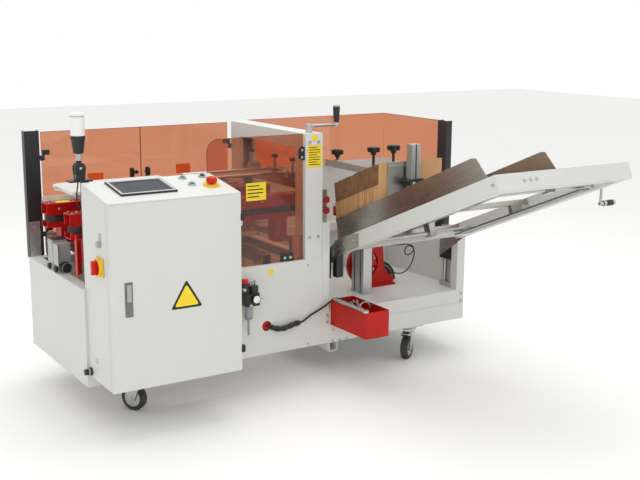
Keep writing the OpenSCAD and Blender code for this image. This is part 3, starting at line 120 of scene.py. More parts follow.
@dataclass(frozen=True)
class Finish:
    """A material: what it is, its colours, and the real size of its pattern."""

    name: str
    slot: str
    surface: Surface
    colour: str
    shade: str
    roughness: float
    grain_mm: float
    bump_mm: float
    patch_mm: float = 160.0
    patch: float = 0.5
    metallic: float = 0.0
    coat: float = 0.0
    ior: float = 1.5
    rough_span: float = 0.08
    drawn: tuple[float, float, float] = (1.0, 1.0, 1.0)
    tilt: float = 0.0
    edge: str = ""
    clear: float = 0.0
    gloss: float = 0.5

    def coordinates(self, tree: bpy.types.NodeTree) -> bpy.types.NodeSocket:
        """Gives the object's coordinates, turned and drawn out along the grain.

        Args:
            tree: the material's node tree.

        Returns:
            The vector socket that carries them.
        """
        where = add_node(tree, "ShaderNodeTexCoord")
        turned = add_node(tree, "ShaderNodeMapping", {
            "Vector": where.outputs["Object"], "Rotation": (math.radians(self.tilt), 0, 0)})
        drawn = add_node(tree, "ShaderNodeMapping", {
            "Vector": turned.outputs["Vector"], "Scale": self.drawn})
        return drawn.outputs["Vector"]

    def grain(self, tree: bpy.types.NodeTree, at: bpy.types.NodeSocket) -> bpy.types.NodeSocket:
        """Makes the fine pattern of the surface.

        Args:
            tree: the material's node tree.
            at: coordinates in metres.

        Returns:
            A value from 0 to 1.
        """
        per_metre = 1000.0 / self.grain_mm
        if self.surface is Surface.PLATED:
            cells = add_node(tree, "ShaderNodeTexVoronoi", {"Vector": at, "Scale": per_metre})
            return cells.outputs["Color"]
        if self.surface in (Surface.WOUND, Surface.RIBBED):
            bands = add_node(tree, "ShaderNodeTexWave", {
                "Vector": at, "Scale": per_metre / 20, "Distortion": 0.4, "Detail": 2.0},
                bands_direction="X")
            return bands.outputs["Fac"]
        detail = 3.0 if self.surface is Surface.BOARD else 6.0
        noise = add_node(tree, "ShaderNodeTexNoise", {
            "Vector": at, "Scale": per_metre, "Detail": detail, "Roughness": 0.6})
        return noise.outputs["Fac"]

    def build(self) -> bpy.types.Material:
        """Builds the material's nodes.

        Returns:
            The material.
        """
        made = bpy.data.materials.new(self.name)
        made.use_nodes = True
        tree = made.node_tree
        shader = tree.nodes["Principled BSDF"]
        at = self.coordinates(tree)
        grain = self.grain(tree, at)
        cloud = add_node(tree, "ShaderNodeTexNoise", {
            "Vector": at, "Scale": 1000.0 / self.patch_mm, "Detail": 5.0, "Roughness": 0.55})
        blotch = add_node(tree, "ShaderNodeMapRange", {
            "Value": cloud.outputs["Fac"], "From Min": 0.35, "From Max": 0.7, "To Max": self.patch})
        tone = add_node(tree, "ShaderNodeMix", {
            "Factor": blotch.outputs["Result"], 6: linear(self.colour), 7: linear(self.shade)},
            data_type="RGBA")
        fine = add_node(tree, "ShaderNodeMapRange", {
            "Value": grain, "From Min": 0.3, "From Max": 0.7, "To Max": self.patch * 0.5})
        tone = add_node(tree, "ShaderNodeMix", {
            "Factor": fine.outputs["Result"], 6: tone.outputs[2], 7: linear(self.shade)},
            data_type="RGBA")
        rounded = add_node(tree, "ShaderNodeBevel", {"Radius": 0.0012}, samples=4)
        if self.edge:
            tone = self.worn(tree, tone, rounded, cloud)
        rough = add_node(tree, "ShaderNodeMapRange", {
            "Value": grain, "To Min": self.roughness - self.rough_span,
            "To Max": self.roughness + self.rough_span})
        relief = add_node(tree, "ShaderNodeBump", {
            "Strength": 0.6, "Distance": self.bump_mm / 1000.0, "Height": grain,
            "Normal": rounded.outputs["Normal"]})
        tree.links.new(tone.outputs[2], shader.inputs["Base Color"])
        tree.links.new(rough.outputs["Result"], shader.inputs["Roughness"])
        tree.links.new(relief.outputs["Normal"], shader.inputs["Normal"])
        shader.inputs["Metallic"].default_value = self.metallic
        shader.inputs["IOR"].default_value = self.ior
        shader.inputs["Coat Weight"].default_value = self.coat
        shader.inputs["Coat Roughness"].default_value = 0.08
        shader.inputs["Transmission Weight"].default_value = self.clear
        shader.inputs["Specular IOR Level"].default_value = self.gloss
        return made

    def worn(self, tree: bpy.types.NodeTree, tone: bpy.types.Node, rounded: bpy.types.Node,
             cloud: bpy.types.Node) -> bpy.types.Node:
        """Rubs the corners: where the rounded normal leaves the flat one, the edge colour shows.

        Args:
            tree: the material's node tree.
            tone: the node whose colour is rubbed.
            rounded: the bevel node.
            cloud: the noise that breaks the wear up.

        Returns:
            The mix node with the worn colour.
        """
        flat = add_node(tree, "ShaderNodeNewGeometry")
        same = add_node(tree, "ShaderNodeVectorMath", {
            0: rounded.outputs["Normal"], 1: flat.outputs["Normal"]}, operation="DOT_PRODUCT")
        corner = add_node(tree, "ShaderNodeMapRange", {
            "Value": same.outputs["Value"], "From Min": 0.97, "From Max": 0.85, "To Max": 0.5})
        broken = add_node(tree, "ShaderNodeMath", {
            0: corner.outputs["Result"], 1: cloud.outputs["Fac"]}, operation="MULTIPLY")
        return add_node(tree, "ShaderNodeMix", {
            "Factor": broken.outputs["Value"], 6: tone.outputs[2], 7: linear(self.edge)},
            data_type="RGBA")


SLOPE = 22.5

# Polyester powder coat, sprayed and baked: a fine orange peel that softens each highlight
WHITE_COAT = Finish("white_powder_coat", "white_paint", Surface.SPRAYED, "#D0D1CC", "#C6C8C3",
                    0.45, 3.0, 0.05, patch_mm=420, patch=0.35, edge="#B2B2AC")
# Alkyd enamel over steel: wet gloss, scuffed to a duller red on the corners
RED_ENAMEL = Finish("red_enamel", "red_paint", Surface.SPRAYED, "#BE1208", "#960C06",
                    0.38, 4.0, 0.06, patch_mm=120, coat=0.1, edge="#6E1A12", gloss=0.25)
# Black powder coat: low gloss with a fine grit
BLACK_COAT = Finish("black_powder_coat", "black_paint", Surface.SPRAYED, "#1A1A1C", "#26262A",
                    0.40, 2.0, 0.08, patch_mm=90, edge="#5A5A5C")
# Bronze cast acrylic: clear, tinted through, glossy on both faces
AMBER_SHEET = Finish("bronze_acrylic", "amber_sheet", Surface.CLEAR, "#DA9270", "#D48C6A",
                     0.04, 60.0, 0.01, patch_mm=500, patch=0.3, clear=1.0, ior=1.49,
                     rough_span=0.02, gloss=0.3)
# The sawn and polished edge of that sheet gathers its tint and looks darker
AMBER_EDGE = Finish("bronze_acrylic_edge", "amber_sheet", Surface.MOULDED, "#7C3A1E", "#6A2E16",
                    0.25, 3.0, 0.02, patch_mm=60, patch=0.4)
# Stainless sheet, belt-brushed along its length; scratches drawn at 2 mm so that they show
STAINLESS = Finish("brushed_stainless", "stainless", Surface.BRUSHED, "#C6C4BF", "#9A9893",
                   0.30, 2.0, 0.02, patch_mm=200, metallic=1.0, drawn=(0.03, 1.0, 1.0))
SLOPE_STEEL = Finish("slope_brushed_stainless", "stainless", Surface.BRUSHED, "#C4C1BB",
                     "#8A8781", 0.28, 2.0, 0.02, patch_mm=160, metallic=1.0,
                     drawn=(1.0, 0.03, 1.0), tilt=SLOPE)
# Bright zinc plate: faint spangle and a cool grey cast
ZINC_PLATE = Finish("zinc_plate", "zinc", Surface.PLATED, "#C2C5C4", "#9DA1A1",
                    0.34, 7.0, 0.01, patch_mm=60, metallic=0.9)
# Extruded and anodised aluminium: fine die lines along the bar
ALUMINIUM = Finish("anodised_aluminium", "aluminium", Surface.BRUSHED, "#BFC0C0", "#A3A5A6",
                   0.36, 1.6, 0.02, patch_mm=120, metallic=0.95, drawn=(1.0, 1.0, 0.03))
# Moulded ABS and nylon: a dull, even grain
BLACK_ABS = Finish("black_abs", "black_plastic", Surface.MOULDED, "#161617", "#232325",
                   0.46, 1.6, 0.06, patch_mm=50)
RED_ABS = Finish("red_abs", "red_plastic", Surface.MOULDED, "#CC1A10", "#B0140C",
                 0.34, 2.0, 0.03, patch_mm=40, patch=0.3, coat=0.1, gloss=0.3)
GREEN_ABS = Finish("green_abs", "green_plastic", Surface.MOULDED, "#10A35C", "#0B8046",
                   0.28, 2.0, 0.03, patch_mm=20, patch=0.3, coat=0.3)
BLUE_ABS = Finish("blue_abs", "blue_plastic", Surface.MOULDED, "#3A7EA6", "#2C6486",
                  0.28, 2.0, 0.03, patch_mm=20, patch=0.3, coat=0.3)
YELLOW_ABS = Finish("yellow_abs", "red_plastic", Surface.MOULDED, "#F0C22A", "#D8A818",
                    0.36, 2.0, 0.03, patch_mm=40, patch=0.3)
# Grey hammer-free enamel on castings
GREY_ENAMEL = Finish("grey_enamel", "grey_paint", Surface.SPRAYED, "#A6A8A7", "#8C8F8E",
                     0.42, 3.0, 0.06, patch_mm=110, edge="#6C6E6E")
DARK_ENAMEL = Finish("dark_motor_enamel", "grey_paint", Surface.SPRAYED, "#2E3134", "#232527",
                     0.40, 3.0, 0.06, patch_mm=70, edge="#66686A")
# Kraft liner: brown pulp with darker flecks and no gloss
KRAFT = Finish("kraft_liner", "kraft_board", Surface.BOARD, "#CFA071", "#B98C5E",
               0.85, 5.0, 0.15, patch_mm=60, patch=0.5)
# A darker kraft for the set-back flap band above the fold of each blank
KRAFT_DARK_FLAP_BAND = Finish("kraft_dark_flap_band", "kraft_board", Surface.BOARD, "#8F6A48", "#6B4A30",
                    0.92, 4.0, 0.4, patch_mm=30, patch=0.6)
# Darker kraft for the thinner sheets of the stack: painted shade in the gaps between blanks
KRAFT_PAINTED_GAP_SHADE = Finish("kraft_painted_gap_shade", "kraft_board", Surface.BOARD, "#B4855A", "#9A6E46",
                     0.9, 4.0, 0.2, patch_mm=30, patch=0.5)
# Polyurethane tread over a hard core, scuffed grey by floors
TREAD = Finish("caster_tread", "wheel_black", Surface.MOULDED, "#2B2926", "#46423C",
               0.68, 6.0, 0.2, patch_mm=40, patch=0.8)
# Grooved drive belt: ribs across its width, drawn 8 mm apart
BELT = Finish("ribbed_belt", "black_plastic", Surface.RIBBED, "#141414", "#242424",
              0.62, 8.0, 1.0, patch_mm=80, drawn=(1.0, 1.0, 0.0))
# Adhesive tape on its roll: each turn shows as a fine ring
TAPE = Finish("wound_tape", "tape_film", Surface.WOUND, "#C9A867", "#A98748",
              0.25, 4.0, 0.1, patch_mm=60, coat=0.4)
SHEATH = Finish("pvc_sheath", "cable_black", Surface.MOULDED, "#111112", "#1E1E20",
                0.50, 3.0, 0.05, patch_mm=30)
BRAID = Finish("braided_sleeve", "cable_black", Surface.PLATED, "#0E0E0F", "#2C2C2E",
               0.58, 2.4, 0.5, patch_mm=25, patch=0.8)
# Nitrile suction cups: dark red, dull
CUP_RUBBER = Finish("red_nitrile", "red_plastic", Surface.MOULDED, "#B01C22", "#8C1218",
                    0.55, 2.0, 0.05, patch_mm=20)
# Opal polycarbonate lens: white, translucent, smooth
OPAL = Finish("opal_polycarbonate", "black_plastic", Surface.MOULDED, "#E9E9E7", "#DADBD9",
              0.22, 12.0, 0.02, patch_mm=60, patch=0.3, coat=0.4)
# Smoked display glass: near black with a cool cast
DISPLAY = Finish("display_glass", "black_plastic", Surface.CLEAR, "#1E2A34", "#141C24",
                 0.34, 40.0, 0.01, patch_mm=70, patch=0.8, rough_span=0.03, gloss=0.2)
# Painted plate of the lock, browned by handling
LOCK_PAINT = Finish("lock_paint", "zinc", Surface.SPRAYED, "#77746A", "#5E5B52",
                    0.40, 3.0, 0.04, patch_mm=40, edge="#9A978E")
# Galvanised sheet: dull, with a large pale spangle
GALVANISED = Finish("galvanised_sheet", "zinc", Surface.PLATED, "#BDBDB8", "#A2A29C",
                    0.48, 12.0, 0.02, patch_mm=70, metallic=0.55)
SILVER_ABS = Finish("silver_abs", "aluminium", Surface.MOULDED, "#B9BCC0", "#A4A8AC",
                    0.38, 1.6, 0.03, patch_mm=60, metallic=0.4)
# Vinyl labels: flat colour with a slight print mottle
YELLOW_VINYL = Finish("yellow_vinyl", "tape_film", Surface.MOULDED, "#EFD21C", "#DDBE10",
                      0.45, 3.0, 0.02, patch_mm=30, patch=0.3)
ORANGE_VINYL = Finish("orange_vinyl", "tape_film", Surface.MOULDED, "#E2561C", "#CC4914",
                      0.45, 3.0, 0.02, patch_mm=30, patch=0.3)
INK = Finish("printed_black", "black_plastic", Surface.MOULDED, "#151515", "#222222",
             0.5, 2.0, 0.02, patch_mm=20, patch=0.3)
GREY_VINYL = Finish("grey_vinyl", "grey_paint", Surface.MOULDED, "#B8BBBB", "#9FA3A3",
                    0.5, 3.0, 0.02, patch_mm=20, patch=0.3)
SMOKED_BOWL = Finish("smoked_polycarbonate", "black_plastic", Surface.CLEAR, "#8F9699",
                     "#7E8588", 0.18, 30.0, 0.02, patch_mm=40, coat=0.6)
# Matt floor paint: pale, with a barely visible mottle
FLOOR_PAINT = Finish("pale_floor", "", Surface.SPRAYED, "#F1F1EF", "#ECECEA",
                     0.9, 30.0, 0.0, patch_mm=900, patch=0.3)

CAD_FINISHES: dict[str, Finish] = {
    "base_frame": WHITE_COAT, "front_panel": WHITE_COAT, "outer_panels": WHITE_COAT,
    "portal_frame": WHITE_COAT, "plated_fittings": ZINC_PLATE, "cabinet_shell": WHITE_COAT,
    "component_plate": GREY_ENAMEL, "hmi_panel": BLACK_ABS, "control_bezels": ZINC_PLATE,
    "guard_posts": BLACK_COAT, "amber_guards": AMBER_SHEET, "frl_unit": BLACK_ABS,
    "tool_tray": RED_ENAMEL, "lift_guides": ALUMINIUM, "red_bracket": RED_ENAMEL,
    "drag_chain": BLACK_ABS, "tape_head": STAINLESS, "bed_plates": STAINLESS,
    "side_guide": STAINLESS, "suction_plate": ZINC_PLATE, "drive_gearbox": GREY_ENAMEL,
    "cabinet_door": WHITE_COAT, "door_latch": ZINC_PLATE, "isolator_knob": RED_ABS,
    "button_green": GREEN_ABS, "button_blue": BLUE_ABS, "button_black": BLACK_ABS,
    "estop_head": RED_ABS, "rear_door_left": AMBER_SHEET, "rear_door_right": AMBER_SHEET,
    "head_beam": ALUMINIUM, "head_crank": ZINC_PLATE, "magazine_frame": WHITE_COAT,
    "magazine_steelwork": SLOPE_STEEL, "lift_blocks": BLACK_COAT, "right_guide": SLOPE_STEEL,
    "width_crank": ZINC_PLATE, "blank_pusher": ALUMINIUM, "side_drive_front": RED_ENAMEL,
    "side_drive_rear": RED_ENAMEL, "roller_front": ZINC_PLATE, "roller_rear": ZINC_PLATE,
    "tape_roll": TAPE, "tape_arm_front": RED_ENAMEL, "tape_arm_rear": RED_ENAMEL,
    "swing_arm": RED_ENAMEL, "slide_valve": RED_ABS, "star_knob_front": BLACK_ABS,
    "star_knob_middle": BLACK_ABS, "star_knob_back": BLACK_ABS, "caster_fork_left": ZINC_PLATE,
    "caster_fork_right": ZINC_PLATE, "wheel_front_left": TREAD, "wheel_front_right": TREAD,
    "wheel_rear_left": TREAD, "wheel_rear_right": TREAD,
}


class Bench:
    """Knows where the machine stands in the frame, and keeps one material for each finish."""

    def __init__(self) -> None:
        """Finds the base's corner from the frame and starts with no materials."""
        low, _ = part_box("base_frame")
        self.corner = Vector((low.x - 0.002, low.y - 0.002, low.z + 0.040))
        self.materials: dict[str, bpy.types.Material] = {}
        self.count = 0

    def at(self, point: Point) -> Vector:
        """Turns a point in working millimetres into the frame's metres."""
        return self.corner + Vector(point) / 1000.0

    def paint(self, finish: Finish) -> bpy.types.Material:
        """Gives the material of a finish, built on its first use."""
        if finish.name not in self.materials:
            self.materials[finish.name] = finish.build()
        return self.materials[finish.name]

    def dress(self, node: str, obj: bpy.types.Object) -> None:
        """Puts a CAD node's finish on each of its material slots.

        Args:
            node: the CAD node's name.
            obj: its object.
        """
        material = self.paint(CAD_FINISHES[node])
        if not obj.material_slots:
            obj.data.materials.append(material)
        for held in obj.material_slots:
            held.material = material
        LOG.info("dressed %s with %s", node, material.name)


class Shape:
    """Collects mesh in working millimetres until it becomes one piece."""

    def __init__(self, bench: Bench, move: Matrix | None = None) -> None:
        """Starts empty; move places a local frame, in millimetres, in the working frame."""
        self.bench = bench
        self.mesh = bmesh.new()
        self.move = move or Matrix.Identity(4)

    def box(self, low: Point, high: Point, bevel: float = 0.0) -> "Shape":
        """Adds a box between two corners, its edges rounded by bevel.

        Args:
            low: the corner with the smallest numbers.
            high: the corner with the largest.
            bevel: the edges' rounding; none at 0.

        Returns:
            This shape.
        """
        made = bmesh.ops.create_cube(self.mesh, size=1.0)["verts"]
        for v in made:
            v.co = Vector([low[i] if v.co[i] < 0 else high[i] for i in range(3)])
        if bevel:
            edges = list({e for v in made for e in v.link_edges})
            bmesh.ops.bevel(self.mesh, geom=edges, offset=bevel, segments=2, affect="EDGES")
        return self

    def rod(self, start: Point, end: Point, r0: float, r1: float | None = None,
            sides: int = 32) -> "Shape":
        """Adds a round bar or cone from start to end.

        Args:
            start: centre of the first end.
            end: centre of the other end.
            r0: radius at the start.
            r1: radius at the end; r0 if left out.
            sides: how many flats the circle has.

        Returns:
            This shape.
        """
        a, b = Vector(start), Vector(end)
        turn = (b - a).to_track_quat("Z", "Y").to_matrix().to_4x4()
        place = Matrix.Translation((a + b) / 2) @ turn
        bmesh.ops.create_cone(self.mesh, cap_ends=True, segments=sides, radius1=r0,
                              radius2=r0 if r1 is None else r1, depth=(b - a).length,
                              matrix=place)
        return self

    def lathe(self, base: Point, axis: Point, profile: Sequence[tuple[float, float]],
              sides: int = 40) -> "Shape":
        """Turns a profile of (radius, height) points about an axis through base.

        Args:
            base: where the height is 0.
            axis: the way that heights run.
            profile: points from one end to the other.
            sides: how many flats the circle has.

        Returns:
            This shape.
        """
        turn = Vector(axis).to_track_quat("Z", "Y").to_matrix().to_4x4()
        place = Matrix.Translation(Vector(base)) @ turn
        rings = []
        for radius, height in profile:
            rings.append([self.mesh.verts.new(place @ Vector((
                radius * math.cos(math.tau * k / sides), radius * math.sin(math.tau * k / sides),
                height))) for k in range(sides)])
        for low, high in zip(rings, rings[1:]):
            for k in range(sides):
                n = (k + 1) % sides
                self.mesh.faces.new((low[k], low[n], high[n], high[k]))
        self.mesh.faces.new(list(reversed(rings[0])))
        self.mesh.faces.new(rings[-1])
        return self

    def washer(self, base: Point, axis: Point, inner: float, outer: float, height: float,
               sides: int = 48) -> "Shape":
        """Adds a flat ring with a hole, standing on base along axis.

        Args:
            base: centre of the lower face.
            axis: the way that the ring stands.
            inner: radius of the hole.
            outer: outer radius.
            height: thickness along the axis.
            sides: how many flats the circle has.

        Returns:
            This shape.
        """
        turn = Vector(axis).to_track_quat("Z", "Y").to_matrix().to_4x4()
        place = Matrix.Translation(Vector(base)) @ turn
        corners = ((inner, 0.0), (outer, 0.0), (outer, height), (inner, height))
        rings = [[self.mesh.verts.new(place @ Vector((
            r * math.cos(math.tau * k / sides), r * math.sin(math.tau * k / sides), h)))
            for k in range(sides)] for r, h in corners]
        for i in range(4):
            low, high = rings[i], rings[(i + 1) % 4]
            for k in range(sides):
                n = (k + 1) % sides
                self.mesh.faces.new((low[k], low[n], high[n], high[k]))
        return self

    def plate(self, outline: Sequence[tuple[float, float]], place: Callable[[float, float, float],
              Point], thick: float) -> "Shape":
        """Adds a flat plate from an outline; place turns (a, b, depth) into a point.

        Args:
            outline: its corners in order.
            place: turns a corner and a depth into a point.
            thick: depth of the far face.

        Returns:
            This shape.
        """
        count = len(outline)
        back = [self.mesh.verts.new(Vector(place(a, b, 0.0))) for a, b in outline]
        front = [self.mesh.verts.new(Vector(place(a, b, thick))) for a, b in outline]
        self.mesh.faces.new(list(reversed(back)))
        self.mesh.faces.new(front)
        for k in range(count):
            n = (k + 1) % count
            self.mesh.faces.new((back[k], back[n], front[n], front[k]))
        return self

    def belt(self, centre: Point, length: float, inner: float, outer: float, height: float
             ) -> "Shape":
        """Adds an endless band round two vertical rollers whose axes are length apart.

        Args:
            centre: middle of the band's lower edge.
            length: distance between the axes.
            inner: radius of its inner face.
            outer: radius of its outer face.
            height: width of the band.

        Returns:
            This shape.
        """
        outline = []
        for half, start in ((1, -90), (-1, 90)):
            for k in range(25):
                a = math.radians(start + 7.5 * k)
                outline.append((half * length / 2, math.cos(a), math.sin(a)))
        rings = [[self.mesh.verts.new(Vector((centre[0] + x + r * c, centre[1] + r * s,
                                              centre[2] + z))) for x, c, s in outline]
                 for r, z in ((inner, 0.0), (outer, 0.0), (outer, height), (inner, height))]
        count = len(outline)
        for i in range(4):
            low, high = rings[i], rings[(i + 1) % 4]
            for k in range(count):
                n = (k + 1) % count
                self.mesh.faces.new((low[k], low[n], high[n], high[k]))
        return self

    def join(self, other: "Shape", place: Matrix) -> "Shape":
        """Takes in another shape, moved by place.

        Args:
            other: the shape, which is used up.
            place: where it goes.

        Returns:
            This shape.
        """
        bmesh.ops.transform(other.mesh, matrix=place, verts=other.mesh.verts)
        data = bpy.data.meshes.new("joined")
        other.mesh.to_mesh(data)
        other.mesh.free()
        self.mesh.from_mesh(data)
        bpy.data.meshes.remove(data)
        return self

    def piece(self, name: str, finish: Finish, body: str, replaces: Sequence[str] = ()
              ) -> bpy.types.Object:
        """Turns the mesh into an object that rides on a body.

        Args:
            name: the piece's name.
            finish: its finish.
            body: the CAD body it moves with.
            replaces: CAD nodes that it stands for.

        Returns:
            The new object.
        """
        bmesh.ops.recalc_face_normals(self.mesh, faces=self.mesh.faces)
        for v in self.mesh.verts:
            v.co = self.bench.at(self.move @ v.co)
        data = bpy.data.meshes.new(name)
        self.mesh.to_mesh(data)
        self.mesh.free()
        obj = bpy.data.objects.new(name, data)
        bpy.context.scene.collection.objects.link(obj)
        data.materials.append(self.bench.paint(finish))
        data.shade_smooth()
        data.set_sharp_from_angle(angle=math.radians(32))
        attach(obj, body)
        if replaces:
            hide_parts(*replaces)
        self.bench.count += 1
        LOG.info("made %s in %s on %s", name, finish.name, body)
        return obj


@dataclass
class Studio:
    """The pale floor, the soft lights and the camera."""

    bench: Bench
    eye: Point = (-1245.6, -3510.7, 1311.7)
    yaw: float = 32.54
    pitch: float = 11.82
    roll: float = 0.34
    lens: float = 59.24
    floor_z: float = -148.0

    def camera(self) -> None:
        """Sets up the camera, level but for its slight roll."""
        a, b, c = (math.radians(v) for v in (self.yaw, self.pitch, self.roll))
        ahead = Vector((math.sin(a) * math.cos(b), math.cos(a) * math.cos(b), -math.sin(b)))
        right = ahead.cross(Vector((0, 0, 1))).normalized()
        up = right.cross(ahead)
        right, up = (right * math.cos(c) + up * math.sin(c), up * math.cos(c) - right * math.sin(c))
        data = bpy.data.cameras.new("studio_camera")
        data.lens = self.lens
        data.sensor_width = 36.0
        data.clip_end = 60.0
        camera = bpy.data.objects.new("studio_camera", data)
        bpy.context.scene.collection.objects.link(camera)
        turn = Matrix((right, up, -ahead)).transposed().to_4x4()
        camera.matrix_world = Matrix.Translation(self.bench.at(self.eye)) @ turn
        bpy.context.scene.camera = camera
        LOG.info("placed the camera")

    def light(self, name: str, spot: Point, aim: Point, size: float, watts: float) -> None:
        """Adds one soft square lamp that faces aim.

        Args:
            name: the lamp's name.
            spot: where it stands, in metres.
            aim: what it faces, in metres.
            size: its side, in metres.
            watts: its power.
        """
        data = bpy.data.lights.new(name, "AREA")
        data.shape = "SQUARE"
        data.size = size
        data.energy = watts
        lamp = bpy.data.objects.new(name, data)
        bpy.context.scene.collection.objects.link(lamp)
        a, b = Vector(spot), Vector(aim)
        lamp.matrix_world = Matrix.Translation(a) @ (a - b).to_track_quat("Z", "Y").to_matrix(
            ).to_4x4()

    def build(self) -> None:
        """Makes the floor, the sky and the lamps."""
        scene = bpy.context.scene
        scene.view_settings.view_transform = "Standard"
        sky = bpy.data.worlds.new("studio_sky")
        sky.use_nodes = True
        back = sky.node_tree.nodes["Background"]
        back.inputs["Color"].default_value = linear("#FFFFFF")
        back.inputs["Strength"].default_value = 1.0
        scene.world = sky
        mesh = bmesh.new()
        bmesh.ops.create_grid(mesh, x_segments=2, y_segments=2, size=14.0)
        for v in mesh.verts:
            v.co.z = self.bench.at((0, 0, self.floor_z)).z
        data = bpy.data.meshes.new("studio_floor")
        mesh.to_mesh(data)
        mesh.free()
        floor = bpy.data.objects.new("studio_floor", data)
        scene.collection.objects.link(floor)
        data.materials.append(self.bench.paint(FLOOR_PAINT))
        self.light("key_lamp", (-2.6, -3.2, 3.4), (0, 0, 0.5), 2.6, 22.0)
        self.light("fill_lamp", (3.6, -2.8, 2.4), (0.3, 0, 0.5), 3.0, 8.0)
        self.light("top_lamp", (0.2, 0.6, 3.6), (0, 0, 0.4), 3.0, 48.0)
        self.camera()


@dataclass
class Cords:
    """The two cables and the lamp's lead, each a smooth line."""

    bench: Bench
    front: Sequence[Point] = (
        (740, 12, 118), (750, 3, 116), (762, -6, 112), (782, -12, 104), (804, -16, 101),
        (826, -17, 103), (848, -17, 108), (868, -16, 112), (888, -14, 113), (908, -12, 116),
        (926, -10, 124), (946, -8, 134), (968, -7, 143), (990, -8, 152), (1010, -12, 163),
        (1027, -17, 176), (1040, -23, 188), (1052, -31, 195), (1064, -40, 194), (1073, -49, 183),
        (1079.5, -58, 160), (1083, -68, 130), (1085, -78, 104), (1086, -88, 83.3))
    loop: Sequence[Point] = (
        (1352, 191.4, 341), (1376, 164, 347), (1404, 128, 352), (1437.9, 86, 355.8),
        (1473.8, 52.2, 360.9), (1495.6, 40.4, 353), (1497.6, 34.1, 336.2), (1485.5, 33.1, 324),
        (1469.5, 34.1, 317.7), (1456.1, 34, 322.4), (1450.1, 34, 335.9), (1455.8, 35, 350.1),
        (1470, 37, 356.2), (1486, 42, 354), (1502, 50, 346), (1520, 62, 330), (1536, 78, 310),
        (1548, 98, 286), (1558, 120, 260), (1566, 146, 234), (1572, 174, 210), (1576, 204, 192),
        (1580, 234, 180), (1583, 262, 174), (1585, 285, 172), (1585.7, 307.4, 172))
    lamp: Sequence[Point] = (
        (14, 56, 745.5), (13, 56, 738), (11.5, 56, 728), (9.5, 56, 716), (8, 56, 703),
        (7.5, 56.5, 690), (8.2, 57, 678), (10.6, 58, 667), (15, 59.5, 658), (21, 61, 652.5),
        (28.5, 62, 650))

    def smooth(self, route: Sequence[Point], steps: int = 6) -> list[Vector]:
        """Passes a Catmull-Rom line through the route's points.

        Args:
            route: points in working millimetres.
            steps: pieces between two points.

        Returns:
            The points of the smooth line.
        """
        p = [Vector(route[0])] + [Vector(q) for q in route] + [Vector(route[-1])]
        line = []
        for i in range(1, len(p) - 2):
            for k in range(steps):
                t = k / steps
                line.append(0.5 * (2 * p[i] + (p[i + 1] - p[i - 1]) * t
                                   + (2 * p[i - 1] - 5 * p[i] + 4 * p[i + 1] - p[i + 2]) * t * t
                                   + (3 * p[i] - p[i - 1] - 3 * p[i + 1] + p[i + 2]) * t ** 3))
        return line + [p[-2]]

    def line(self, name: str, route: Sequence[Point], radius: float, finish: Finish
             ) -> tuple[bpy.types.Object, float, Vector]:
        """Makes a round line as a curve.

        Args:
            name: the piece's name.
            route: points in working millimetres.
            radius: half its thickness, in millimetres.
            finish: its finish.

        Returns:
            The object, its length in metres and its first point.
        """
        points = [self.bench.at(q) for q in self.smooth(route)]
        data = bpy.data.curves.new(name, "CURVE")
        data.dimensions = "3D"
        data.bevel_depth = radius / 1000.0
        data.bevel_resolution = 4
        data.use_fill_caps = True
        spline = data.splines.new("POLY")
        spline.points.add(len(points) - 1)
        for held, point in zip(spline.points, points):
            held.co = (*point, 1.0)
        obj = bpy.data.objects.new(name, data)
        bpy.context.scene.collection.objects.link(obj)
        data.materials.append(self.bench.paint(finish))
        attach(obj, "machine")
        self.bench.count += 1
        LOG.info("laid %s", name)
        return obj, sum((b - a).length for a, b in zip(points, points[1:])), points[0]

    def build(self) -> None:
        """Lays each cable where its CAD solid is, and the braided sleeve on the front one."""
        cable, size, start = self.line("front_tool_cable", self.front, 4.0, SHEATH)
        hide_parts("front_cable")
        loop, long_way, top = self.line("magazine_sensor_cable", self.loop, 2.5, SHEATH)
        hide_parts("magazine_cable")
        sleeve = Shape(self.bench)
        route = self.smooth(self.front[2:9], 4)
        for a, b in zip(route, route[1:]):
            swell = 10.5 + 1.2 * math.sin(a.x * 0.21)
            sleeve.rod(a, b, swell, 10.5 + 1.2 * math.sin(b.x * 0.21), 20)
        made = sleeve.piece("front_cable_sleeve", BRAID, "machine")
        lead, size, start = self.line("lamp_lead", self.lamp, 2.5, SHEATH)


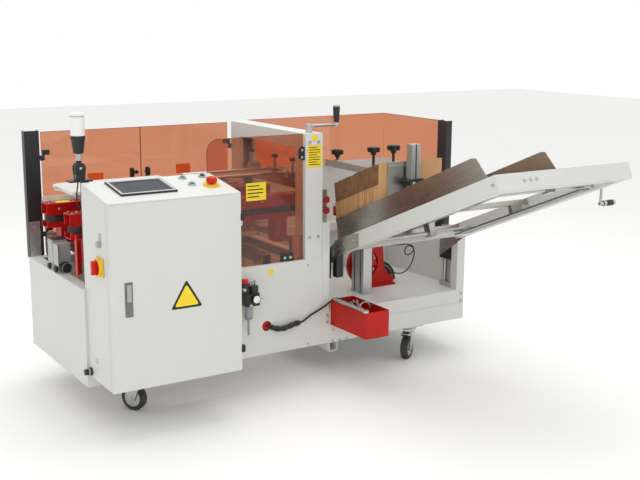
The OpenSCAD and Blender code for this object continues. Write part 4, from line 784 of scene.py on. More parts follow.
@dataclass
class Cabinet:
    """The control cabinet's screen, rings, lock, plates and the parts inside it."""

    bench: Bench
    left: float = 9.0
    front: float = -234.0
    front_top: float = 708.0
    depth: float = 248.0
    rise: float = 39.0
    screen_at: tuple[float, float] = (181.0, 145.0)
    stop_at: tuple[float, float] = (436.0, 106.0)
    switch_at: tuple[float, float] = (-150.0, 478.0)
    lock_at: tuple[float, float] = (74.0, 372.0)

    def top_frame(self) -> Matrix:
        """Gives the sloping top's own frame."""
        slope = math.atan(self.rise / self.depth)
        return Matrix.Translation((self.left, self.front, self.front_top)) @ Matrix.Rotation(
            slope, 4, "X")

    def screen(self) -> None:
        """Makes the display and its silver bezel."""
        u, v = self.screen_at
        bezel = Shape(self.bench, self.top_frame())
        for low, high in (((-103, -75.5), (103, -66)), ((-103, 66), (103, 75.5)),
                          ((-103, -66), (-94, 66)), ((94, -66), (103, 66))):
            bezel.box((u + low[0], v + low[1], 5.2), (u + high[0], v + high[1], 7.8), 0.5)
        bezel.piece("screen_bezel", SILVER_ABS, "machine")
        border = Shape(self.bench, self.top_frame())
        for low, high in (((-94, -66), (94, -54)), ((-94, 54), (94, 66)), ((-94, -54), (-81, 54)),
                          ((81, -54), (94, 54))):
            border.box((u + low[0], v + low[1], 5.1), (u + high[0], v + high[1], 6.9), 0.2)
        border.piece("screen_border", BLACK_ABS, "machine")
        Shape(self.bench, self.top_frame()).box(
            (u - 81, v - 54, 5.1), (u + 81, v + 54, 6.2), 0.3).piece(
            "screen_glass", DISPLAY, "machine")

    def rings(self) -> None:
        """Makes the yellow ring of the stop button and the isolator's yellow body."""
        u, v = self.stop_at
        Shape(self.bench, self.top_frame()).washer((u, v, -0.1), (0, 0, 1), 9.4, 30.4, 6.4).piece(
            "stop_ring", YELLOW_ABS, "machine")
        cap = Shape(self.bench, self.top_frame())
        for k in range(3):
            a = math.radians(120 * k + 20)
            c, s = math.cos(a), math.sin(a)
            cap.box((u + 10 * c - 1.5, v + 10 * s - 1.5, 30.0),
                    (u + 10 * c + 1.5, v + 10 * s + 1.5, 30.5), 0.2)
        cap.piece("stop_turn_marks", OPAL, "estop")
        y, z = self.switch_at
        body = Shape(self.bench)
        body.box((4.6, y - 33, z - 33), (9.0, y + 33, z + 33), 1.2)
        body.washer((4.8, y, z), (-1, 0, 0), 26.6, 32.0, 12.0)
        body.piece("isolator_body", YELLOW_ABS, "machine")

    def door(self) -> None:
        """Makes the lock, its handle, the plain triangle plate and the gland."""
        x, z = self.lock_at
        face = self.front
        lock = Shape(self.bench)
        lock.box((x - 14, face - 3, z - 61), (x + 14, face + 0.2, z + 61), 1.2)
        lock.lathe((x, face - 2.9, z - 48), (0, -1, 0), ((5, 0), (5, 1.2), (4, 1.8)), 16)
        lock.piece("lock_plate", LOCK_PAINT, "cabinet_door")
        bar = Shape(self.bench)
        bar.box((x - 9, face - 6, z - 8), (x + 9, face - 2.8, z + 54), 1.4)
        bar.piece("lock_handle", GREY_ENAMEL, "cabinet_door")
        hinges = Shape(self.bench)
        for low in (112.0, 605.0):
            hinges.box((507.5, face - 2.5, low), (522.5, face + 19.5, low + 27), 2.0)
            for dz in (5, 13, 21):
                hinges.box((506.9, face - 3.0, low + dz), (523.1, face - 1.0, low + dz + 1.5), 0.3)
        hinges.piece("cabinet_hinge_covers", BLACK_ABS, "machine")
        for name, grow, thick, finish in (("triangle_rim", 0.0, 0.4, INK),
                                          ("triangle_face", 9.0, 0.7, YELLOW_VINYL)):
            outline = self.triangle(grow)
            Shape(self.bench).plate(outline, lambda a, b, d: (a, face - d, b), thick).piece(
                name, finish, "cabinet_door")
        Shape(self.bench).box((8.4, -92, 112), (9.1, -66, 130), 0.1).piece(
            "side_label", GREY_VINYL, "machine")
        Shape(self.bench).lathe((9, -22, 67), (-1, 0, 0), (
            (9.0, -0.2), (14.5, 0.0), (14.5, 8.0), (12.0, 14.5), (11.0, 15.0), (11.0, 26.5),
            (6.5, 27.5))).piece("cable_gland_cap", BLACK_ABS, "machine")

    def triangle(self, inset: float) -> list[tuple[float, float]]:
        """Gives a triangle with rounded corners, inset from its rim.

        Args:
            inset: distance from the rim.

        Returns:
            Its outline as (x, z) points.
        """
        corners = [(232 + inset * 1.73, 315 + inset), (348 - inset * 1.73, 315 + inset),
                   (290, 412 - inset * 2)]
        outline = []
        for k, (x, z) in enumerate(corners):
            cx = x + (290 - x) * 0.09
            cz = z + (347 - z) * 0.09
            start = 210 + 120 * k
            for step in range(5):
                a = math.radians(start - 60 + 30 * step)
                outline.append((cx + 5 * math.cos(a), cz + 5 * math.sin(a)))
        return outline

    def inside(self) -> None:
        """Makes ducts, breakers and terminals that show when the door is open."""
        ducts, breakers, levers, lids = (Shape(self.bench) for _ in range(4))
        for row in range(3):
            z = 165 + row * 140
            ducts.box((76, -60, z + 64), (440, -24.2, z + 90), 1.0)
            for k in range(34):
                ducts.box((80 + k * 10.6, -61, z + 66), (84 + k * 10.6, -59.8, z + 86))
            for i in range(6 + row):
                width = 36 - 4 * row
                x0 = 84 + i * 44
                breakers.box((x0 - 0.3, -92.4, z - 25.3), (x0 + width + 0.3, -70, z + 60.3), 1.0)
                levers.box((x0 + width / 2 - 5, -98, z + 10), (x0 + width / 2 + 5, -92, z + 24), 1)
                lids.box((x0 + 3, -93.0, z - 20), (x0 + width - 3, -92.2, z - 8), 0.2)
        ducts.piece("wiring_ducts", GREY_VINYL, "machine")
        breakers.piece("breaker_fronts", OPAL, "machine")
        levers.piece("breaker_levers", BLACK_ABS, "machine")
        lids.piece("breaker_labels", YELLOW_VINYL, "machine")
        drive = Shape(self.bench)
        drive.box((353.7, -134.6, 144.7), (444.3, -110, 295.3), 1.5)
        for k in range(9):
            drive.box((362, -136, 158 + 7 * k), (436, -134.4, 161 + 7 * k))
        drive.piece("motor_drive_front", DARK_ENAMEL, "machine")

    def build(self) -> None:
        """Makes every piece of the cabinet."""
        self.screen()
        self.rings()
        self.door()
        self.inside()


@dataclass
class SignalLamp:
    """The folding lamp: opal lens, black base and neck, silver collar and hinge disc."""

    bench: Bench
    x: float = 22.0
    y: float = 62.0
    pivot: float = 794.0

    def build(self) -> None:
        """Makes the lamp's pieces, which stand for the CAD head."""
        z = self.pivot
        up = (0, 0, 1)
        base = Shape(self.bench)
        base.lathe((self.x, self.y, z), up, (
            (10, 50), (17, 52), (18, 53), (24.6, 101), (25.8, 103), (25.8, 113.6), (24, 114)))
        base.lathe((self.x, self.y - 5.7, z), (0, 1, 0), ((17, 0), (18, 1), (18, 10.4), (17, 11.4)))
        base.box((self.x - 8, self.y - 5.7, z), (self.x + 8, self.y + 5.7, z + 40), 1.0)
        base.piece("lamp_base", BLACK_ABS, "lamp", ["lamp_head"])
        Shape(self.bench).lathe((self.x, self.y, z), up, (
            (9.8, 26), (10, 27), (10, 49), (9.8, 50))).piece("lamp_collar", ZINC_PLATE, "lamp")
        Shape(self.bench).lathe((self.x, self.y, z), up, (
            (23.5, 113.8), (24.8, 114.2), (25, 116), (24.6, 184), (24.9, 186), (24.9, 189),
            (22, 194.5), (12, 196)), 56).piece("lamp_lens", OPAL, "lamp")
        Shape(self.bench).lathe((self.x, self.y, z), up, (
            (24.7, 180), (25.3, 181), (25.3, 184), (24.7, 185))).piece(
            "lamp_lens_band", SILVER_ABS, "lamp")
        disc = Shape(self.bench)
        disc.lathe((self.x, self.y - 14, z), (0, -1, 0), ((20, 0), (20.4, 0.5), (19, 3), (9, 4)))
        disc.piece("lamp_hinge_disc", BLACK_ABS, "machine")
        Shape(self.bench).lathe((self.x, self.y - 18, z), (0, -1, 0), (
            (5, 0), (5, 1.4), (3.5, 2.2))).piece("lamp_hinge_screw", ZINC_PLATE, "machine")


@dataclass
class SideDrives:
    """Belts, motors and covers on the two side drives."""

    bench: Bench
    fronts: tuple[float, float] = (145.5, 406.5)
    bodies: tuple[str, str] = ("side_drive_front", "side_drive_rear")
    x0: float = 49.0
    x1: float = 959.0
    top: float = 612.0

    def build(self) -> None:
        """Makes the pieces on each drive."""
        for y, body in zip(self.fronts, self.bodies):
            mid = y + 35
            Shape(self.bench).belt(((self.x0 + self.x1) / 2, mid, 540.8), self.x1 - self.x0, 32.6,
                                   35.35, 24.4).piece(body + "_belt", BELT, body)
            motor = Shape(self.bench)
            motor.box((198.7, mid - 30.3, self.top - 0.2), (309.3, mid + 30.3, self.top + 12.3), 2)
            for k in range(9):
                motor.box((206 + 11 * k, mid - 26, self.top + 12.2),
                          (211 + 11 * k, mid + 26, self.top + 13.4))
            motor.piece(body + "_motor", DARK_ENAMEL, body)
            bolts = Shape(self.bench)
            for x in (24, 120, 420, 620, 860, 905):
                for dy in (-22, 22):
                    bolts.lathe((x, mid + dy, self.top), (0, 0, 1), ((5, 0), (5, 2.4), (4, 3)), 16)
            for x in range(60, 960, 150):
                bolts.lathe((x, y + 3, 590), (0, -1, 0), ((5, 0), (5, 2.2), (4, 2.8)), 16)
            bolts.piece(body + "_bolts", ZINC_PLATE, body)
            Shape(self.bench).box((24, mid - 4, 520), (30, mid + 4, 611), 0.5).piece(
                body + "_end_post", ZINC_PLATE, body)
        Shape(self.bench).box((56, 420, 611.8), (112, 462, 612.5)).piece(
            "drive_label", YELLOW_VINYL, "side_drive_rear")
        Shape(self.bench).box((12, 468, 611.6), (880, 472, 634), 0.8).piece(
            "drive_top_rail", WHITE_COAT, "side_drive_rear")


@dataclass
class Head:
    """White top guide, knobs and grip of the height-adjustable head."""

    bench: Bench
    guide_y: float = 295.0

    def build(self) -> None:
        """Makes the head's pieces."""
        wide = [(24, 156), (30, 150), (470, 150), (470, 400), (62, 400), (50, 396), (28, 372),
                (24, 364)]
        Shape(self.bench).plate(wide, lambda a, b, d: (a, b, 681.6 + d), 10.8).piece(
            "top_guide_plate", WHITE_COAT, "head")
        bars = Shape(self.bench)
        for y in (170, 380):
            bars.box((40, y - 8, 672), (700, y + 8, 681.4), 1.0)
        bars.box((690, 166, 668), (712, 384, 681.4), 1.0)
        bars.piece("top_guide_bars", ALUMINIUM, "head")
        for k, y in enumerate((150.0, self.guide_y, 500.0)):
            Shape(self.bench).lathe((954, y, 747.6), (0, 0, 1), (
                (9, 0), (13.4, 1), (13.4, 10), (10, 12.4))).piece(
                f"head_clamp_knob_{k}", BLACK_ABS, "head")
        Shape(self.bench).lathe((1096, 42, 906.2), (0, 0, 1), (
            (8.5, 0), (10.6, 2), (12.2, 20), (14.4, 60), (13.6, 66), (10, 68.4))).piece(
            "head_crank_grip", BLACK_ABS, "head_crank")


@dataclass
class Magazine:
    """The blanks, the pusher's clamp, the crank's grip and small fittings of the magazine."""

    bench: Bench
    blank_x: float = 1128.0
    blank_w: float = 310.0
    low: float = -84.0
    length: float = 308.0
    bed: float = 62.0
    height: float = 247.0
    lean: float = 9.0
    sheets: int = 54
    pusher_x: float = 1268.0
    pusher_s: float = 224.3
    clamp_z: float = 148.0

    def frame(self) -> Matrix:
        """Gives the slope's frame: local -Y runs up the slope, local Z square to it."""
        return Matrix.Translation((0, -32, 380)) @ Matrix.Rotation(math.radians(-SLOPE), 4, "X")

    def bed_at(self, s: float) -> tuple[float, float]:
        """Gives Y and Z of the bed at a distance s up the slope.

        Args:
            s: distance from the slope's foot.

        Returns:
            Y and Z in working millimetres.
        """
        a = math.radians(SLOPE)
        return (-32 - s * math.cos(a) + self.bed * math.sin(a),
                380 + s * math.sin(a) + self.bed * math.cos(a))

    def sheet(self, shape: Shape, span: tuple[float, float], k: float, thick: float,
              heights: tuple[float, float]) -> None:
        """Adds part of one blank: k edges up the stack, between two heights.

        Args:
            shape: the shape it goes into.
            span: its low and high X.
            k: its place in the stack.
            thick: its thickness, as a share of one blank's pitch.
            heights: its lower and upper edge.
        """
        step = self.length / self.sheets
        corners = []
        for edge, height in ((k, heights[0]), (k + thick, heights[0]), (k + thick, heights[1]),
                             (k, heights[1])):
            a = math.radians(self.lean * (1 - k / self.sheets))
            y, z = self.bed_at(self.low + edge * step)
            corners.append((y + height * math.sin(a), z + height * math.cos(a)))
        shape.plate(corners, lambda a, b, d: (span[0] + d, a, b), span[1] - span[0])

    def blanks(self) -> None:
        """Makes the stack: each blank a folded sheet whose flap band is set back; most thinner
        sheets between blanks take a darker kraft, painted shade in the gaps.
        """
        pick = random.Random(7)
        pale, dark, flaps = (Shape(self.bench) for _ in range(3))
        fold = self.height * 0.66
        for k in range(self.sheets):
            side = pick.uniform(0.0, 1.6)
            top = self.height + pick.uniform(-3.5, 1.6) - (3.0 if k % 6 == 3 else 0.0)
            thick = 0.93 if k % 2 else 0.72
            # most of the thinner even sheets get the darker kraft: painted shade in the gaps
            # between blanks
            held = pale if k % 2 or pick.random() < 0.3 else dark
            self.sheet(held, (self.blank_x + side, self.blank_x + self.blank_w - 2 + side), k,
                       thick, (0.2, fold))
            # the flap band above the fold is set back and painted a darker brown
            self.sheet(flaps, (self.blank_x + 3 + side, self.blank_x + self.blank_w - 5 + side),
                       k, thick - 0.12, (fold - 1, top))
        # the last blank stands whole against the pusher
        self.sheet(pale, (self.blank_x, self.blank_x + self.blank_w), self.sheets - 0.8, 0.8,
                   (0.2, self.height))
        pale.piece("blank_stack", KRAFT, "magazine", ["carton_blanks"])
        dark.piece("blank_painted_gap_shade", KRAFT_PAINTED_GAP_SHADE, "magazine")
        flaps.piece("blank_flaps", KRAFT_DARK_FLAP_BAND, "magazine")

    def fittings(self) -> None:
        """Makes the pusher's black clamp, end screws, the crank's grip and the shaft cover."""
        x = self.pusher_x
        y, z = self.bed_at(self.pusher_s)
        z += self.clamp_z
        clamp = Shape(self.bench)
        clamp.box((x - 32.4, y - 60.4, z - 0.4), (x + 32.4, y - 49.6, z + 34.4), 1)
        for dx in (-30.4, 19.6):
            clamp.box((x + dx, y - 50.2, z + 7.6), (x + dx + 10.8, y - 13.8, z + 26.4), 1)
        clamp.box((x - 30.4, y - 14.4, z - 0.4), (x + 30.4, y - 3.8, z + 34.4), 1)
        clamp.piece("pusher_clamp", BLACK_COAT, "blank_pusher")
        Shape(self.bench).lathe((x - 18, y - 60, z + 16), (0, -1, 0), (
            (8, 0), (8, 5), (6, 7))).piece("pusher_clamp_screw", ZINC_PLATE, "blank_pusher")
        plate = Shape(self.bench)
        plate.box((x - 102.4, y - 4.4, z - 136), (x - 20, y + 0.1, z + 83.4), 0.4)
        plate.box((x - 102.4, y - 12, z + 80), (x + 54.4, y + 0.1, z + 83.6), 0.6)
        plate.piece("pusher_face_plate", STAINLESS, "blank_pusher")
        screws = Shape(self.bench, self.frame())
        for px in (1203, 1231, 1258):
            screws.lathe((px, -997, 32), (0, -1, 0), ((6, -0.2), (6, 3), (4.6, 4)), 20)
        for sx in (18, 90):
            screws.lathe((1080, -sx - 12, 34), (-1, 0, 0), ((6, -0.2), (6, 2.6), (4.6, 3.6)), 20)
        screws.lathe((1080, -978, 30), (-1, 0, 0), ((6, -0.2), (6, 2.6), (4.6, 3.6)), 20)
        screws.piece("magazine_screws", ZINC_PLATE, "magazine")
        plate = Shape(self.bench, self.frame())
        plate.box((1078.6, -118, 0.2), (1080.2, -1, 60), 0.3)
        plate.piece("rail_end_plate", GALVANISED, "magazine")
        bed = Shape(self.bench, self.frame())
        bed.box((1130, -946, 56.3), (1436, 56, 57.9), 0.2)
        bed.piece("bed_sheet", STAINLESS, "magazine")
        y = -32 - 839 * math.cos(math.radians(SLOPE)) + 20 * math.sin(math.radians(SLOPE))
        z = 380 + 839 * math.sin(math.radians(SLOPE)) + 20 * math.cos(math.radians(SLOPE)) - 76
        Shape(self.bench).lathe((1741.8, y, z), (1, 0, 0), (
            (8, 0), (10.6, 2), (11.4, 20), (11.4, 44), (9.8, 54), (6, 56))).piece(
            "width_crank_grip", BLACK_ABS, "width_crank")
        for name, finish, bands in (
                ("shaft_cover_face", BLACK_COAT, ((1584.2, 1600), (1606, 1618), (1624, 1639.8))),
                ("shaft_cover_lines", ALUMINIUM, ((1600, 1606), (1618, 1624)))):
            face = Shape(self.bench, self.frame())
            for x0, x1 in bands:
                face.box((x0, -856, 0.3), (x1, -111, 2.1))
            face.piece(name, finish, "magazine")
        carriage = Shape(self.bench)
        carriage.box((1084, 12, 268), (1119, 43, 372), 3.0)
        for k in range(3):
            carriage.box((1084 + 12 * k, 10.6, 274), (1089 + 12 * k, 12.4, 366), 0.6)
        carriage.piece("lift_carriage_cover", BLACK_COAT, "magazine")

    def build(self) -> None:
        """Makes every piece of the magazine."""
        self.blanks()
        self.fittings()


@dataclass
class OpeningGear:
    """Suction cups, chain pins and the ring handle's hub in the opening bay."""

    bench: Bench
    arm_x: float = 1444.0

    def cup(self, name: str, centre: Point, way: float, radius: float, body: str) -> None:
        """Makes one bellows cup that faces along Y.

        Args:
            name: the piece's name.
            centre: centre of the cup's back.
            way: 1 or -1, the way it faces.
            radius: radius of its lip.
            body: the body it moves with.
        """
        Shape(self.bench).lathe(centre, (0, way, 0), (
            (radius * 0.5, -0.4), (radius * 0.86, 0.6), (radius * 0.72, 2.2), (radius + 0.3, 4.0),
            (radius + 0.3, 6.2), (radius * 0.7, 6.6), (radius * 0.3, 6.5))).piece(
            name, CUP_RUBBER, body)

    def build(self) -> None:
        """Makes the cups, chain pins and the ring handle's spokes and hub."""
        for k, z in enumerate((545, 590)):
            self.cup(f"fixed_cup_{k}", (1065, 68, z), -1, 15, "machine")
        for k, x in enumerate((self.arm_x - 225, self.arm_x - 60)):
            self.cup(f"arm_cup_{k}", (x, 182, 510), -1, 18, "swing_arm")
        pins = Shape(self.bench)
        for k in range(7):
            a = math.radians(4 + 12 * k)
            x, z = 1515 + 76 * math.cos(a), 138 + 76 * math.sin(a)
            pins.rod((x, 307.4, z), (x, 352.6, z), 4.0, sides=16)
        pins.piece("chain_pins", GREY_ENAMEL, "machine")
        hub = Shape(self.bench)
        for k in range(3):
            a = math.radians(90 + 120 * k)
            c, s = math.cos(a), math.sin(a)
            hub.rod((1440 + 14 * c, 258, 242 + 14 * s), (1440 + 68 * c, 258, 242 + 68 * s), 5,
                    sides=14)
        hub.lathe((1440, 248, 242), (0, 1, 0), ((12, 0), (16, 1), (16, 19), (12, 20)))
        hub.piece("ring_spokes", RED_ENAMEL, "machine")


@dataclass
class Guards:
    """Door pulls and hinges, blank labels and the two marker discs."""

    bench: Bench
    inner: float = 638.0
    zs: tuple[float, float] = (464.0, 774.0)

    def doors(self) -> None:
        """Makes black hinge covers and pulls on the rear doors."""
        for side, hx, pull, body in ((1, 78, 463, "rear_door_left"),
                                     (-1, 914, 535, "rear_door_right")):
            iron = Shape(self.bench)
            for z in self.zs:
                x0, x1 = (hx - 0.3, hx + 27) if side > 0 else (hx - 27, hx + 0.3)
                iron.lathe((hx, self.inner - 8, z - 0.6), (0, 0, 1), (
                    (5.3, 0), (5.4, 0.2), (5.4, 19.8), (5.0, 20.2)), 24)
                iron.box((x0, self.inner - 5.4, z - 0.6), (x1, self.inner + 0.1, z + 19.6), 0.6)
            iron.piece(body + "_hinge_leaves", BLACK_COAT, body)
            grip = Shape(self.bench)
            for dz in (-14, 14):
                grip.rod((pull, 642, 672 + dz), (pull, 658.5, 672 + dz), 4.4, sides=20)
            grip.box((pull - 8.4, 653.6, 651.6), (pull + 8.4, 660.4, 692.4), 1.6)
            grip.piece(body + "_pull", BLACK_ABS, body)
            knob = Shape(self.bench)
            knob.box((pull - 16, 632, 662), (pull + 4, 637.9, 690), 1.0)
            knob.rod((pull + 13 * side, 630, 676), (pull + 13 * side, 637.9, 676), 8, sides=24)
            knob.piece(body + "_catch", BLACK_ABS, body)
        for name, x, z, body in (("left", 296, 665, "rear_door_left"),
                                 ("right", 694, 677, "rear_door_right")):
            Shape(self.bench).box((x - 34, 637.3, z - 20), (x + 34, 637.9, z + 20)).piece(
                f"{name}_door_label", ORANGE_VINYL, body)

    def label(self, name: str, low: tuple[float, float], high: tuple[float, float], y: float,
              rows: int, finish: Finish) -> None:
        """Makes a blank label with plain bars in place of words.

        Args:
            name: the piece's name.
            low: its low X and Z.
            high: its high X and Z.
            y: the face it lies on.
            rows: how many bars it has.
            finish: finish of its ground.
        """
        Shape(self.bench).box((low[0], y - 0.5, low[1]), (high[0], y + 0.1, high[1])).piece(
            name, finish, "machine")
        bars = Shape(self.bench)
        tall = (high[1] - low[1]) / (rows + 1)
        for k in range(rows):
            z = high[1] - tall * (k + 0.85)
            wide = (high[0] - low[0]) * (0.78 if k % 3 else 0.6)
            bars.box((low[0] + 6, y - 0.8, z - tall * 0.2), (low[0] + 6 + wide, y - 0.4,
                                                            z + tall * 0.12))
        bars.piece(name + "_bars", INK, "machine")

    def build(self) -> None:
        """Makes every piece of the guards."""
        self.doors()
        self.label("guard_label", (666, 624), (754, 694), 16.0, 4, YELLOW_VINYL)
        self.label("column_label", (935, 738), (1000, 826), 2.0, 8, YELLOW_VINYL)
        for name, x, y, z, r in (("head_marker", 968, 2, 855, 13),
                                 ("panel_marker", 766, 0, 335, 12)):
            Shape(self.bench).lathe((x, y, z), (0, -1, 0), ((r, -0.1), (r, 0.5), (r - 0.4, 0.6))
                                    ).piece(name, YELLOW_VINYL, "machine")
        covers = Shape(self.bench)
        for z in self.zs:
            covers.box((53.6, 627.4, z - 22.3), (72.6, 632, z - 0.8), 0.5)
        covers.piece("post_hinge_covers", BLACK_COAT, "machine")
        for name, body, parts in (
                ("front_sheet_edge", "machine", (
                    ((552, 15.8, 871.2), (922, 20.2, 872.4)),
                    ((501.4, 15.8, 366.4), (502.8, 20.2, 822)))),
                ("right_sheet_edge", "machine", (
                    ((1008, 633.8, 871.2), (1766, 638.2, 872.4)),
                    ((1761.8, 219, 871.2), (1766.2, 634, 872.4)))),
                ("left_door_edge", "rear_door_left", (
                    ((72, 637.8, 865.2), (498.2, 642.2, 866.4)),
                    ((497.2, 637.8, 372), (498.5, 642.2, 866)))),
                ("right_door_edge", "rear_door_right", (
                    ((499.8, 637.8, 865.2), (911.6, 642.2, 866.4)),
                    ((499.5, 637.8, 372), (500.8, 642.2, 866))))):
            edge = Shape(self.bench)
            for low, high in parts:
                edge.box(low, high, 0.2)
            if name == "front_sheet_edge":
                for k in range(12):
                    a0, a1 = math.radians(90 + 7.5 * k), math.radians(97.5 + 7.5 * k)
                    edge.rod((552 + 49.6 * math.cos(a0), 18, 822 + 49.6 * math.sin(a0)),
                             (552 + 49.6 * math.cos(a1), 18, 822 + 49.6 * math.sin(a1)), 1.4,
                             sides=8)
            edge.piece(name, AMBER_EDGE, body)
        nuts = Shape(self.bench)
        for x, z in ((838, 381), (864, 381)):
            nuts.lathe((x, 16, z), (0, -1, 0), ((6, -0.1), (6, 2.6), (4.8, 3.4)), 20)
        for z in (780, 808):
            nuts.lathe((913, 8, z), (0, -1, 0), ((5, -0.1), (5, 2.6), (4, 3.2)), 20)
        nuts.piece("guard_nuts", ZINC_PLATE, "machine")
        Shape(self.bench).box((824, 13.6, 366.4), (878, 16, 397), 1.0).piece(
            "sill_clamp", BLACK_COAT, "machine")
        Shape(self.bench).lathe((746, 10, 117), (0, -1, 0), ((24, 0), (24, 2), (20, 3))).piece(
            "socket_cap", RED_ENAMEL, "machine")


@dataclass
class AirUnit:
    """Knob, gauge, bowl and fittings of the air service unit."""

    bench: Bench
    x: float = 650.0
    y: float = -36.0
    z: float = 255.0

    def build(self) -> None:
        """Makes the air unit's pieces."""
        x, y, z = self.x, self.y, self.z
        Shape(self.bench).lathe((x + 16, y, z + 20), (0, 0, 1), (
            (17, 0), (19.4, 1), (19.4, 22), (17, 26.4))).piece(
                "pressure_knob", BLACK_ABS, "machine")
        gauge = Shape(self.bench)
        gauge.lathe((x + 14, y - 22, z - 2), (0, -1, 0), ((17, -0.2), (17, 9), (15.5, 10)))
        gauge.piece("pressure_gauge", BLACK_ABS, "machine")
        Shape(self.bench).lathe((x + 14, y - 32, z - 2), (0, -1, 0), ((14.6, -0.1), (14.6, 0.3))
                                ).piece("gauge_dial", OPAL, "machine")
        Shape(self.bench).lathe((x - 6, y, z - 30), (0, 0, -1), (
            (16.6, 0), (17, 2), (17, 46), (13, 56), (6, 60), (4.6, 62), (4.6, 118), (4, 120.5))
            ).piece("filter_bowl", SMOKED_BOWL, "machine")
        ports = Shape(self.bench)
        ports.rod((x + 32, y, z - 6), (x + 46, y, z - 6), 7, sides=6)
        ports.rod((x + 46, y, z - 6), (x + 58, y, z - 6), 5.5)
        ports.rod((x - 34, y - 12, z + 40), (x - 34, y - 26, z + 40), 6, sides=6)
        ports.rod((x - 10, y - 22, z - 24), (x - 10, y - 32, z - 24), 7, 5)
        for px, pz in ((-10, 60), (0, 64), (10, 66)):
            ports.rod((x + px + 16, y + 4, z + 44), (x + px + 16, y + 4, z + pz), 4.2, sides=16)
        ports.piece("air_fittings", ZINC_PLATE, "machine")


@dataclass
class Tray:
    """Hand tools lying in the red tray."""

    bench: Bench
    floor: float = 79.0

    def spanner(self, shape: Shape, start: Point, end: Point, width: float) -> None:
        """Adds a flat spanner with a ring at one end and a jaw at the other.

        Args:
            shape: the shape it goes into.
            start: centre of the ring.
            end: where the jaw begins.
            width: width of its shank.
        """
        a, b = Vector(start), Vector(end)
        way = (b - a).normalized()
        turn = Matrix.Translation(a) @ way.to_track_quat("X", "Z").to_matrix().to_4x4()
        made = Shape(self.bench)
        length = (b - a).length
        made.box((0, -width / 2, -2.5), (length, width / 2, 2.5), 1.0)
        made.washer((0, 0, -4), (0, 0, 1), width * 0.55, width * 1.1, 8, 24)
        made.box((length - 2, -width, -3), (length + 16, -width * 0.35, 3), 1.0)
        made.box((length - 2, width * 0.35, -3), (length + 16, width, 3), 1.0)
        shape.join(made, turn)

    def build(self) -> None:
        """Makes the tools."""
        bright = Shape(self.bench)
        self.spanner(bright, (1090, -220, 150), (1134, -60, 176), 12)
        self.spanner(bright, (1142, -190, 130), (1112, -60, 170), 10)
        bright.rod((1047, -24, 193.5), (1047, -246, 193.5), 6.5)
        bright.washer((1047, -252, 189), (0, 0, 1), 7, 13, 9, 28)
        bright.rod((1047, -70, 193.5), (1047, -110, 193.5), 8.5)
        for k in range(12):
            a0, a1 = math.radians(15 * k), math.radians(15 * k + 15)
            bright.rod((1100 + 26 * math.cos(a0), -170, 180 + 26 * math.sin(a0)),
                       (1100 + 26 * math.cos(a1), -170, 180 + 26 * math.sin(a1)), 2.6, sides=12)
        bright.piece("tray_spanners", ZINC_PLATE, "machine")
        dark = Shape(self.bench)
        dark.lathe((1128, -110, 100), (-0.25, -0.65, 0.72), (
            (8, 0), (12, 4), (13, 30), (10, 60), (12, 86), (7, 96)))
        dark.lathe((1078, -180, 100), (0.1, -0.3, 0.95), ((9, 0), (12, 6), (11, 50), (8, 72)))
        dark.box((1096, -190, 81), (1142, -40, 118), 6.0)
        dark.piece("tray_handles", BLACK_ABS, "machine")


@dataclass
class TapeUnit:
    """The tape's web from its roll, the roll's core and the gear motor's screws."""

    bench: Bench
    y: float = 311.0
    roll: tuple[float, float] = (480.0, 190.0)

    def build(self) -> None:
        """Makes the tape unit's pieces."""
        x, z = self.roll
        web = Shape(self.bench)
        path = [(x - 93, z + 20), (x - 100, z + 90), (300, z + 236), (284, 440)]
        for (ax, az), (bx, bz) in zip(path[:1] + path[1:3], path[1:3] + path[3:]):
            web.plate([(ax, az), (bx, bz), (bx + 0.5, bz + 0.3), (ax + 0.5, az + 0.3)],
                      lambda a, b, d: (a, self.y - 25 + d, b), 50)
        web.piece("tape_web", TAPE, "machine")
        core = Shape(self.bench)
        core.washer((x, self.y - 30.3, z), (0, 1, 0), 10.6, 38.0, 60.6)
        core.piece("tape_core", KRAFT, "tape_roll")
        screws = Shape(self.bench)
        for dy, dz in ((-54, 12), (-8, 12), (-54, 106), (-8, 106)):
            screws.lathe((6, 406.5 + dy, 364 + dz), (-1, 0, 0), ((5, -0.1), (5, 2.4), (4, 3)), 18)
        for dx in (8, 48):
            screws.lathe((6 + dx, 306.5, 462), (0, -1, 0), ((4, -0.1), (4, 2.4), (3, 3)), 18)
        screws.piece("gearbox_screws", ZINC_PLATE, "machine")
        Shape(self.bench).lathe((36, 278.5, 384), (0, -1, 0), (
            (20.3, -64), (20.4, -1), (18, 0.4), (8, 0.6))).piece(
                "encoder_cap", BLACK_ABS, "machine")
        panels = Shape(self.bench)
        panels.box((4.6, 284, 392), (6.2, 338, 474), 0.4)
        panels.box((4.6, 347, 392), (6.2, 401, 474), 0.4)
        panels.piece("gearbox_panels", GALVANISED, "machine")
        feet = Shape(self.bench)
        for foot_y in (306, 380):
            feet.lathe((6, foot_y, 378), (-1, 0, 0), ((11, -0.2), (11, 9), (9.5, 10.4)), 28)
        feet.piece("gearbox_plugs", BLACK_ABS, "machine")
        Shape(self.bench).box((5.6, 344.2, 481.8), (62.4, 406.8, 484.4), 1.0).piece(
            "gearbox_cover", DARK_ENAMEL, "machine")
        upright = Shape(self.bench)
        upright.box((21, 118, 388), (26.6, 146, 540), 0.8)
        upright.box((21, 141, 388), (46, 146, 518), 0.8)
        upright.piece("drive_upright", RED_ENAMEL, "side_drive_front")


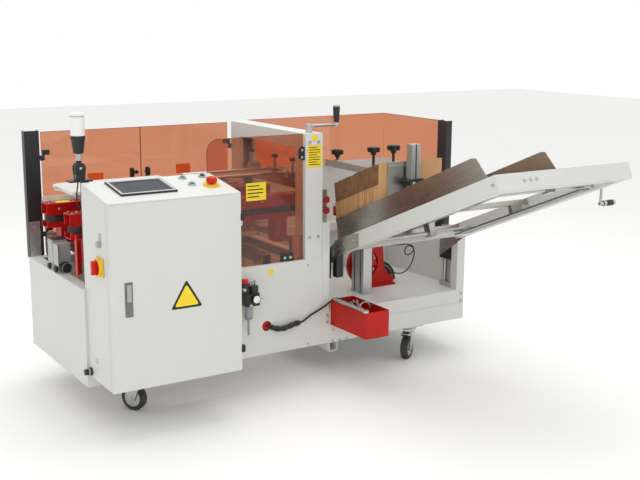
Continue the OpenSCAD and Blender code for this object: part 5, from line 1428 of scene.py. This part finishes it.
@dataclass
class Casters:
    """Hub caps, bearing covers and pedals of the casters."""

    bench: Bench
    xs: tuple[float, float] = (223.0, 1495.0)
    turns: tuple[float, float] = (122.0, -145.0)
    y: float = 48.0
    rear_y: float = 584.0
    wheel_z: float = -98.0

    def hub(self, name: str, centre: Point, axis: Vector, body: str) -> None:
        """Makes the two domed hub covers of one wheel.

        Args:
            name: the piece's name.
            centre: centre of the wheel.
            axis: its axle's direction.
            body: the wheel's body.
        """
        made = Shape(self.bench)
        for way in (1, -1):
            made.washer(Vector(centre) + axis * way * 12.2, axis * way, 14.2, 34.5, 2.6)
            made.lathe(Vector(centre) + axis * way * 15.6, axis * way, (
                (11, -0.2), (13.6, 0.2), (13.4, 0.6), (6.2, 0.8)), 28)
        made.piece(name, ZINC_PLATE, body)

    def build(self) -> None:
        """Makes the casters' pieces."""
        for side, x, turn in zip(("left", "right"), self.xs, self.turns):
            a = math.radians(turn)
            centre = (x + 30 * math.cos(a), self.y + 30 * math.sin(a), self.wheel_z)
            axis = Vector((-math.sin(a), math.cos(a), 0))
            self.hub(f"front_{side}_hub", centre, axis, f"wheel_front_{side}")
            self.hub(f"rear_{side}_hub", (x, self.rear_y, self.wheel_z), Vector((0, 1, 0)),
                     f"wheel_rear_{side}")
            move = Matrix.Translation((x, self.y, -4)) @ Matrix.Rotation(a, 4, "Z")
            pedal = Shape(self.bench, move)
            pedal.box((40, -15, -30), (66, 15, -23.4), 1.5)
            pedal.box((58, -15, -34), (70, 15, -29), 1.5)
            pedal.piece(f"brake_pedal_{side}", BLACK_ABS, f"fork_{side}")
            race = Shape(self.bench, move)
            race.lathe((0, 0, -15.8), (0, 0, 1), ((30, 0), (31, 1), (31, 6), (27, 12), (22, 15)))
            race.piece(f"swivel_race_{side}", ZINC_PLATE, f"fork_{side}")


@dataclass
class Machine:
    """The whole carton erector: the dressed frame and all its sub-assemblies."""

    nodes: dict[str, bpy.types.Object]
    bench: Bench = field(default_factory=Bench)

    def dress_frame(self) -> None:
        """Puts a finish on every CAD node that stays in view."""
        for name, obj in self.nodes.items():
            if name in CAD_FINISHES:
                self.bench.dress(name, obj)
        for name in ("amber_guards", "rear_door_left", "rear_door_right"):
            # light passes tinted sheet, so it throws no hard shadow
            self.nodes[name].visible_shadow = False

    def build(self) -> None:
        """Builds the studio, the cords and then each sub-assembly in order."""
        Studio(self.bench).build()
        Cords(self.bench).build()
        self.dress_frame()
        for part in (Cabinet, SignalLamp, SideDrives, Head, Magazine, OpeningGear, Guards, AirUnit,
                     Tray, TapeUnit, Casters):
            LOG.info("building %s", part.__name__)
            part(self.bench).build()
        LOG.info("%d pieces added", self.bench.count)


def main() -> None:
    """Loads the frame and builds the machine."""
    logging.basicConfig(level=logging.INFO, format="%(name)s: %(message)s")
    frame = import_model()
    Machine(frame["nodes"]).build()
    bpy.context.view_layer.update()


if __name__ == "__main__":
    main()
